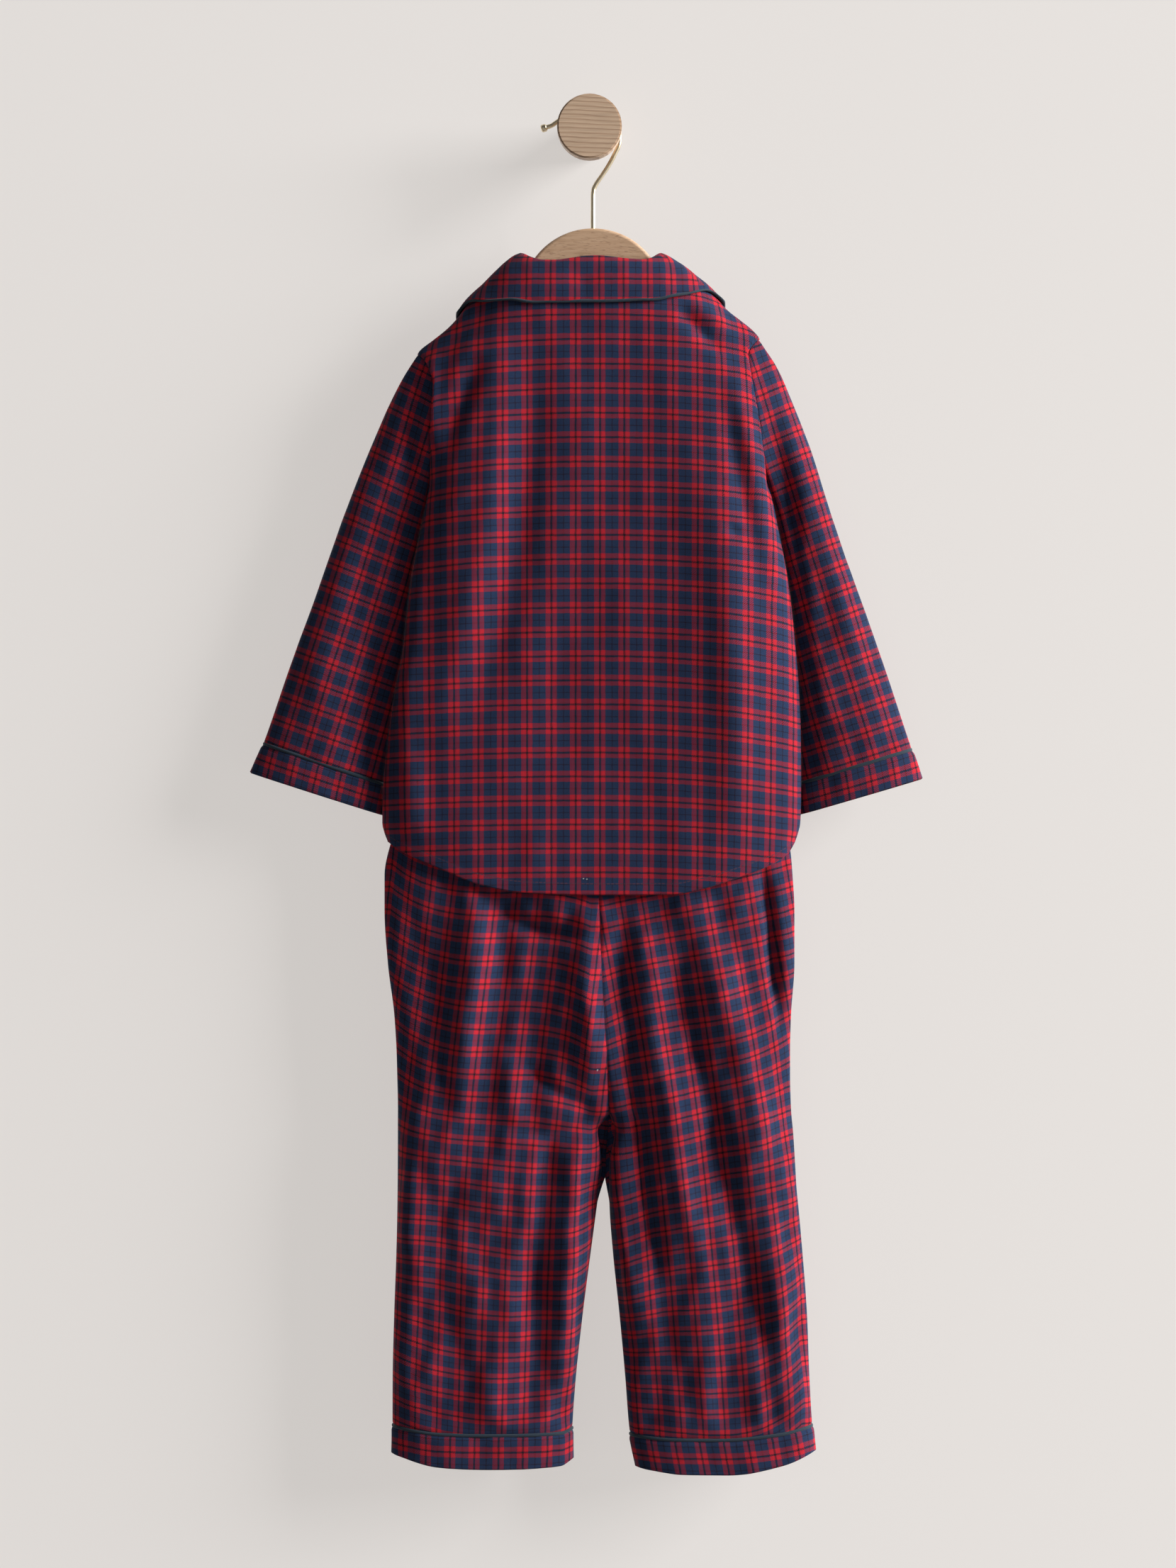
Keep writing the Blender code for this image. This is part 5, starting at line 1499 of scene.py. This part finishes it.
def make_button(number, z):
    radius = np.concatenate([np.linspace(0.05, 2.2, 26), np.linspace(2.4, BUTTON_RADIUS, 18)])
    turn = all_round(64)
    face = button_height(radius[:, None], turn[None, :])
    profile = np.stack(np.broadcast_arrays(radius[:, None], face), axis=-1)
    back = np.array([(BUTTON_RADIUS - 0.25, 0.25), (BUTTON_RADIUS - 0.8, 0.0), (0.05, 0.0)])
    back = np.broadcast_to(back[:, None], (3, len(turn), 2))
    profile = np.concatenate([profile, back])
    surface = HANG_Y + SEAM / 2 + STAND_OFFSET + WALL / 2 + SEAM
    surface += top_depth(np.array([0.0]), np.array([z]), FRONT_DEPTH)[0]
    thing = turned_mesh("button_%d_disc" % number, stacked(
        profile[..., 0] * np.cos(turn), surface + profile[..., 1],
        z + profile[..., 0] * np.sin(turn)))
    finish_piece(thing, "button_%d" % number, button_material)
    share = np.linspace(-1, 1, 15)
    for turned, lift in ((1, 0.0), (-1, 0.25)):
        line = stacked(HOLE_OUT * 0.72 * share,
                       surface + BUTTON_THICK - 0.75 + lift + 0.55 * (1 - share ** 4),
                       z + turned * HOLE_OUT * 0.72 * share)
        side = np.broadcast_to(unit(np.array([turned, 0.0, -1.0])), line.shape)
        up = unit(np.cross(np.gradient(line, axis=0), side))
        stitch = carried("button_%d_thread_%s" % (number, "ab"[turned < 0]), line, side, up,
                         0.28, 0.28, turns=8, closed=False, ends=0.1)
        finish_piece(stitch, None, dark_thread)


for number, z in enumerate(BUTTON_HEIGHTS, 1):
    make_button(number, z)
print("buttons:", len(BUTTON_HEIGHTS))

# %% [markdown]
# ## Tacking stitches
# Two small tacks of pale thread show on the back: one holds the middle of the shirt tail's
# hem, and one the bottom of the seat seam.

# %% Tacking stitches
def surface_y(x, z, top):
    """Outer face of the back at a point, on the top or on the trousers."""
    x, z = np.array([x]), np.array([z])
    if top:
        depth, folds = top_depth(x, z, BACK_DEPTH), fold_field(x, z, BACK_FOLDS)
        depth = depth + folds + unevenness(x, z) + hem_thickness(np.array([11.0])) / 2
    else:
        depth = trouser_size("depth", z) + WALL / 2
        depth = depth + leg_relief(x, z, depth, -1) - 0.4
    return HANG_Y - SEAM / 2 - depth[0]


def make_tack(name, x, z, size, tilt, top=True):
    """One short stitch: a thread that dips into the cloth at its two ends."""
    share = np.linspace(-1, 1, 9)
    y = surface_y(x, z, top)
    line = stacked(x + size / 2 * share * math.cos(tilt), y + 0.35 * share ** 4 - 0.1,
                   z + size / 2 * share * math.sin(tilt))
    side = np.broadcast_to([-math.sin(tilt), 0.0, math.cos(tilt)], line.shape)
    thing = carried(name, line, side, np.broadcast_to([0.0, -1.0, 0.0], line.shape),
                    0.22, 0.22, turns=8, closed=False, ends=0.1)
    return finish_piece(thing, None, pale_thread)


tacks = [make_tack("hem_tack_%d" % k, -4.6 + 2.6 * k, -569.0 - 0.3 * k, 1.0, 0.15)
         for k in range(2)]
tacks.append(make_tack("seat_tack", 6.0, -714.0, 1.4, 1.2, top=False))
print("tacks:", len(tacks))

# %% [markdown]
# ## The hanger
# The hanger is cut from one beech board: a dome in the middle with two arms that fall along
# the shoulder seams. Its outline is drawn as points, filled as a flat board, and its rims
# are rounded by a bevel. Beech shows short dark flecks along its grain.

# %% Beech
def make_beech():
    n = Nodes("beech")
    place = n.object_place()
    grain = n.noise(n.stretched(place, 9.0, 60.0, 130.0), 6.0, 4.0, 0.6)
    short = n.stretched(place, 220.0, 900.0, 1500.0, Rotation=(0.0, 0.05, 0.0))
    flecks = n.spread(n.noise(short, 1.0, 1.0), 0.60, 0.70)
    colour = n.ramp(grain, [(0.25, (0.35, 0.215, 0.125)), (0.5, (0.44, 0.29, 0.18)),
                            (0.8, (0.51, 0.35, 0.23))])
    colour = n.mix(n.math('MULTIPLY', flecks, 0.55), colour, (0.19, 0.105, 0.06, 1.0))
    height = n.math('SUBTRACT', grain, flecks)
    return n.finish(0.48, Base_Color=colour, Normal=n.bump(height, 0.25, 0.0002),
                    Coat_Weight=0.08)


beech = make_beech()
print("nodes in the beech:", len(beech.node_tree.nodes))

# %% The hanger's board
HANGER_THICK, HANGER_REACH, HANGER_ROUND = 10.0, 121.0, 2.2
DOME_CENTRE, DOME_RADIUS, DOME_REACH = (2.7, -129.0), 55.0, 46.0
ARM_DROP, ARM_START = 6.5, 44.0     # how far an arm lies under the seam, and the x it starts at
BOARD_DEEP, BOARD_LESS = 38.0, 20.0


def make_hanger():
    """The board: at each x, the higher of the dome's circle and the arm's line."""
    x = np.concatenate([np.linspace(-HANGER_REACH, -DOME_REACH, 26),
                        DOME_CENTRE[0] + DOME_REACH * np.sin(np.linspace(-1.3, 1.3, 60)),
                        np.linspace(50, HANGER_REACH, 26)])
    height = np.sqrt(np.clip(DOME_RADIUS ** 2 - (x - DOME_CENTRE[0]) ** 2, 0, None))
    dome = np.where(height > 0, DOME_CENTRE[1] + height, -1000)
    under_seam = ridge_height(x) - ARM_DROP
    arm = np.where(np.abs(x) > ARM_START, under_seam, -1000)
    top = np.maximum(dome, arm)
    base = under_seam - BOARD_DEEP + BOARD_LESS * ramp(np.abs(x), 20.0, HANGER_REACH)
    base = np.minimum(base, top - 14)
    drop = np.array([2.0, 6.0])
    right = np.stack([x[-1] + np.array([3.0, 4.0]), top[-1] - drop], axis=-1)
    left = np.stack([x[0] - np.array([4.0, 3.0]), top[0] - drop[::-1]], axis=-1)
    low_right = np.array([[x[-1] + 4.0, base[-1] + 6.0]])
    low_left = np.array([[x[0] - 4.0, base[0] + 6.0]])
    outline = np.vstack([np.stack([x, base], axis=-1), low_right, right[::-1],
                         np.stack([x, top], axis=-1)[::-1], left[::-1], low_left])
    count, half = len(outline), HANGER_THICK / 2
    points = np.concatenate([stacked(outline[:, 0], HANG_Y - half, outline[:, 1]),
                             stacked(outline[:, 0], HANG_Y + half, outline[:, 1])])
    i = np.arange(count)
    faces = np.stack([i[::-1], i + count])
    walls = np.stack([i, np.roll(i, -1), np.roll(i, -1) + count, i + count], axis=-1)
    thing = make_mesh("hanger_board", points, [faces, walls])
    bevel = thing.modifiers.new("rounded rims", 'BEVEL')
    bevel.width = HANGER_ROUND * MM
    bevel.segments = 4
    bevel.limit_method = 'ANGLE'
    bevel.angle_limit = math.radians(50)
    thing.data.set_sharp_from_angle(angle=math.radians(40))
    return finish_piece(thing, "hanger_body", beech)


hanger = make_hanger()
print("hanger outline points:", len(hanger.data.vertices) // 2)

# %% [markdown]
# ## The hook
# The hook is one brass wire: up from the dome, over the peg and out to a small turned cap.
# A circle is carried along its middle line, which is a smooth curve through the solid's own
# stations. The wire is drawn, so it has faint lines along it and a satin gloss.

# %% Brass
WIRE_RADIUS, HOOK_CENTRE, HOOK_RADIUS = 1.75, (0.3, -5.0), 22.6


def make_brass():
    n = Nodes("satin brass")
    place = n.object_place()
    patina = n.noise(place, 120.0, 4.0, 0.6)
    colour = n.ramp(patina, [(0.3, (0.66, 0.56, 0.38)), (0.7, (0.78, 0.69, 0.51))])
    scratches = n.noise(place, 2400.0)
    return n.finish(n.spread(scratches, 0.0, 1.0, 0.26, 0.40), Base_Color=colour, Metallic=1.0,
                    Normal=n.bump(scratches, 0.1, 0.00005))


brass = make_brass()
print("wire: %.1f mm thick" % (2 * WIRE_RADIUS))


# %% The hook and its cap
def make_hook():
    """The wire, through knots spaced by the distance along them, and its cap."""
    arc = np.radians(np.linspace(-12, 113, 14))
    over = np.stack([HOOK_CENTRE[0] + HOOK_RADIUS * np.cos(arc),
                     HOOK_CENTRE[1] + HOOK_RADIUS * np.sin(arc)], axis=-1)
    stem = [(2.7, DOME_CENTRE[1] + DOME_RADIUS - 1.5), (2.7, -62.0), (2.7, -50.0),
            (3.1, -44.5), (4.6, -40.8), (9.5, -33.5), (14.6, -25.8), (19.3, -17.0)]
    tip = [(-16.0, 12.8), (-21.8, 9.5), (-25.6, 6.9), (-29.1, 4.6), (-33.0, 3.3)]
    knots = np.vstack([stem, over, tip])
    far = np.concatenate([[0], np.cumsum(np.linalg.norm(np.diff(knots, axis=0), axis=1))])
    at = np.linspace(0, far[-1], 200)
    x, z = smooth(at, far, knots[:, 0]), smooth(at, far, knots[:, 1])
    line = stacked(x, HANG_Y, z)
    ahead = unit(np.gradient(line, axis=0))
    beside = np.broadcast_to([0.0, 1.0, 0.0], line.shape)
    wire = carried("hook_wire", line, beside, np.cross(ahead, beside), WIRE_RADIUS, WIRE_RADIUS,
                   turns=20, closed=False, ends=0.1)
    finish_piece(wire, "hanger_hook", brass)

    turn = all_round(32)
    profile = np.array([(-0.6, 1.6), (0.0, 2.5), (0.4, 2.9), (1.0, 3.0), (2.6, 3.0), (3.4, 2.75),
                        (3.9, 2.2), (4.15, 1.3), (4.2, 0.3)])
    rings = (line[-1] + profile[:, :1, None] * ahead[-1]
             + profile[:, 1:, None] * (np.cos(turn)[None, :, None] * beside[-1]
                                       + np.sin(turn)[None, :, None] * np.cross(ahead, beside)[-1]))
    cap = turned_mesh("hook_cap", rings)
    finish_piece(cap, "hook_tip", brass)
    return wire, cap


hook, hook_cap = make_hook()
print("hook faces:", len(hook.data.polygons))

# %% [markdown]
# ## The peg
# The peg is turned from pale oak: a disc on a stem. Its solids are already the right shape,
# so they stay and only get their wood. The disc is cut across a plank, so its growth lines
# run almost level over the face, closer together towards the top.

# %% Oak
def make_oak():
    n = Nodes("pale oak")
    place = n.object_place()
    wander = n.noise(n.stretched(place, 22.0, 22.0, 60.0), 1.0)
    split = n.add("ShaderNodeSeparateXYZ", {0: place})
    level = n.math('ADD', n.math('MULTIPLY', split.outputs[2], 290.0),
                   n.math('MULTIPLY', split.outputs[0], 12.0))
    level = n.math('ADD', level, n.math('MULTIPLY', wander, 1.1))
    ring = n.math('FLOORED_MODULO', level, 1.0)
    late = n.ramp(ring, [(0.0, (0, 0, 0)), (0.55, (0.15, 0.15, 0.15)), (0.88, (0.9, 0.9, 0.9)),
                         (1.0, (0.05, 0.05, 0.05))])
    fibres = n.noise(n.stretched(place, 40.0, 200.0, 900.0), 1.0, 3.0, 0.6)
    colour = n.mix(late, (0.50, 0.36, 0.25, 1.0), (0.31, 0.195, 0.12, 1.0))
    colour = n.shaded(colour, n.spread(fibres, 0.3, 0.7, 0.82, 1.1))
    return n.finish(0.5, Base_Color=colour, Normal=n.bump(fibres, 0.3, 0.0002))


oak = make_oak()
for node in ("peg_disc", "peg_stem"):
    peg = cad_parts[node]
    peg.data.materials.clear()
    peg.data.materials.append(oak)

# %% [markdown]
# ## What each sheet was cut to
# Each cloth piece's cut size, from its longest row and column and its area, is printed here.

for name, (across, along, area) in cuts.items():
    print("%-20s %.3f x %.3f m, %.4f m2" % (name, across, along, area))

# %% [markdown]
# ## Wall, floor and light
# The set hangs on a pale warm wall. The wall is one-sided: from behind it is clear, so the
# fronts can be seen there. One broad lamp far to the right gives the folds their shape and
# throws a soft shadow to the left. A studio lights its wall with lamps of its own; here the
# wall's paint glows instead, which keeps that shadow pale and adds no light from the front
# that would flatten the folds. Dim surroundings and a weak lamp fill the shadows, and two
# weak lamps behind the wall light the fronts.

# %% Wall and floor
def make_one_sided(name, colour, glow):
    """A matte paint that is clear from its back, by Geometry's Backfacing, and may glow: painted
    light in place of lamps.
    """
    n = Nodes(name)
    cloudy = n.noise(n.object_place(), 0.9)
    tint = n.mix(cloudy, tuple(0.985 * c for c in colour) + (1.0,), (*colour, 1.0))
    paint = n.finish(0.9, Base_Color=tint, Specular_IOR_Level=0.1,
                     Emission_Color=(0.80, 0.765, 0.735, 1.0), Emission_Strength=glow)
    clear = n.add("ShaderNodeBsdfTransparent")
    back = n.add("ShaderNodeNewGeometry").outputs["Backfacing"]
    both = n.add("ShaderNodeMixShader", {0: back})
    n.tree.links.new(n.shader.outputs[0], both.inputs[1])
    n.tree.links.new(clear.outputs[0], both.inputs[2])
    n.tree.links.new(both.outputs[0], n.tree.nodes["Material Output"].inputs[0])
    return paint


def make_plane(name, corners, colour, glow=0.0):
    """A flat stage piece through four corners, in the order that faces its front."""
    mesh = bpy.data.meshes.new(name)
    mesh.from_pydata([tuple(v * MM for v in corner) for corner in corners], [], [(0, 1, 2, 3)])
    mesh.materials.append(make_one_sided(name + " paint", colour, glow))
    plane = bpy.data.objects.new(name, mesh)
    scene.collection.objects.link(plane)
    plane.visible_shadow = False
    return plane


HALF, FACE, FLOOR = 4000, 0.5, -1160       # half the wall's width, its face and its foot
# the wall's glow is painted light: it stands in for the studio's lamps on the wall and keeps the
# garment's cast shadow pale
make_plane("wall", [(-HALF, FACE, FLOOR), (HALF, FACE, FLOOR), (HALF, FACE, 3000),
                    (-HALF, FACE, 3000)], (0.226, 0.218, 0.213), glow=0.70)
make_plane("floor", [(-HALF, -5000, FLOOR), (HALF, -5000, FLOOR), (HALF, FACE, FLOOR),
                     (-HALF, FACE, FLOOR)], (0.24, 0.23, 0.22))
print("wall: %.0f m wide" % (2 * HALF * MM))


# %% Lamps and surroundings
MIDDLE = (0.0, 0.0, -0.5)         # the lamps' target, in metres


def make_lamp(name, place, size, power, colour=(1.0, 1.0, 1.0)):
    """A square lamp at a place in metres, turned towards the middle of the set."""
    lamp = bpy.data.lights.new(name, 'AREA')
    lamp.size, lamp.energy, lamp.color = size, power, colour
    thing = bpy.data.objects.new(name, lamp)
    thing.location = place
    toward = Vector(MIDDLE) - Vector(place)
    thing.rotation_euler = toward.to_track_quat('-Z', 'Y').to_euler()
    scene.collection.objects.link(thing)
    return thing


make_lamp("key", (8.1, -2.16, 2.74), 4.6, 2400.0, (1.0, 0.99, 0.985))
make_lamp("fill", (-1.2, -3.4, -0.2), 2.0, 5.0)
make_lamp("behind right", (1.2, 1.8, 0.5), 1.2, 24.0)
make_lamp("behind left", (-1.4, 1.6, -0.2), 1.2, 12.0)
world = bpy.data.worlds.new("surroundings")
scene.world = world
world.use_nodes = True
world.node_tree.nodes["Background"].inputs["Color"].default_value = (0.80, 0.775, 0.76, 1.0)
world.node_tree.nodes["Background"].inputs["Strength"].default_value = 0.14
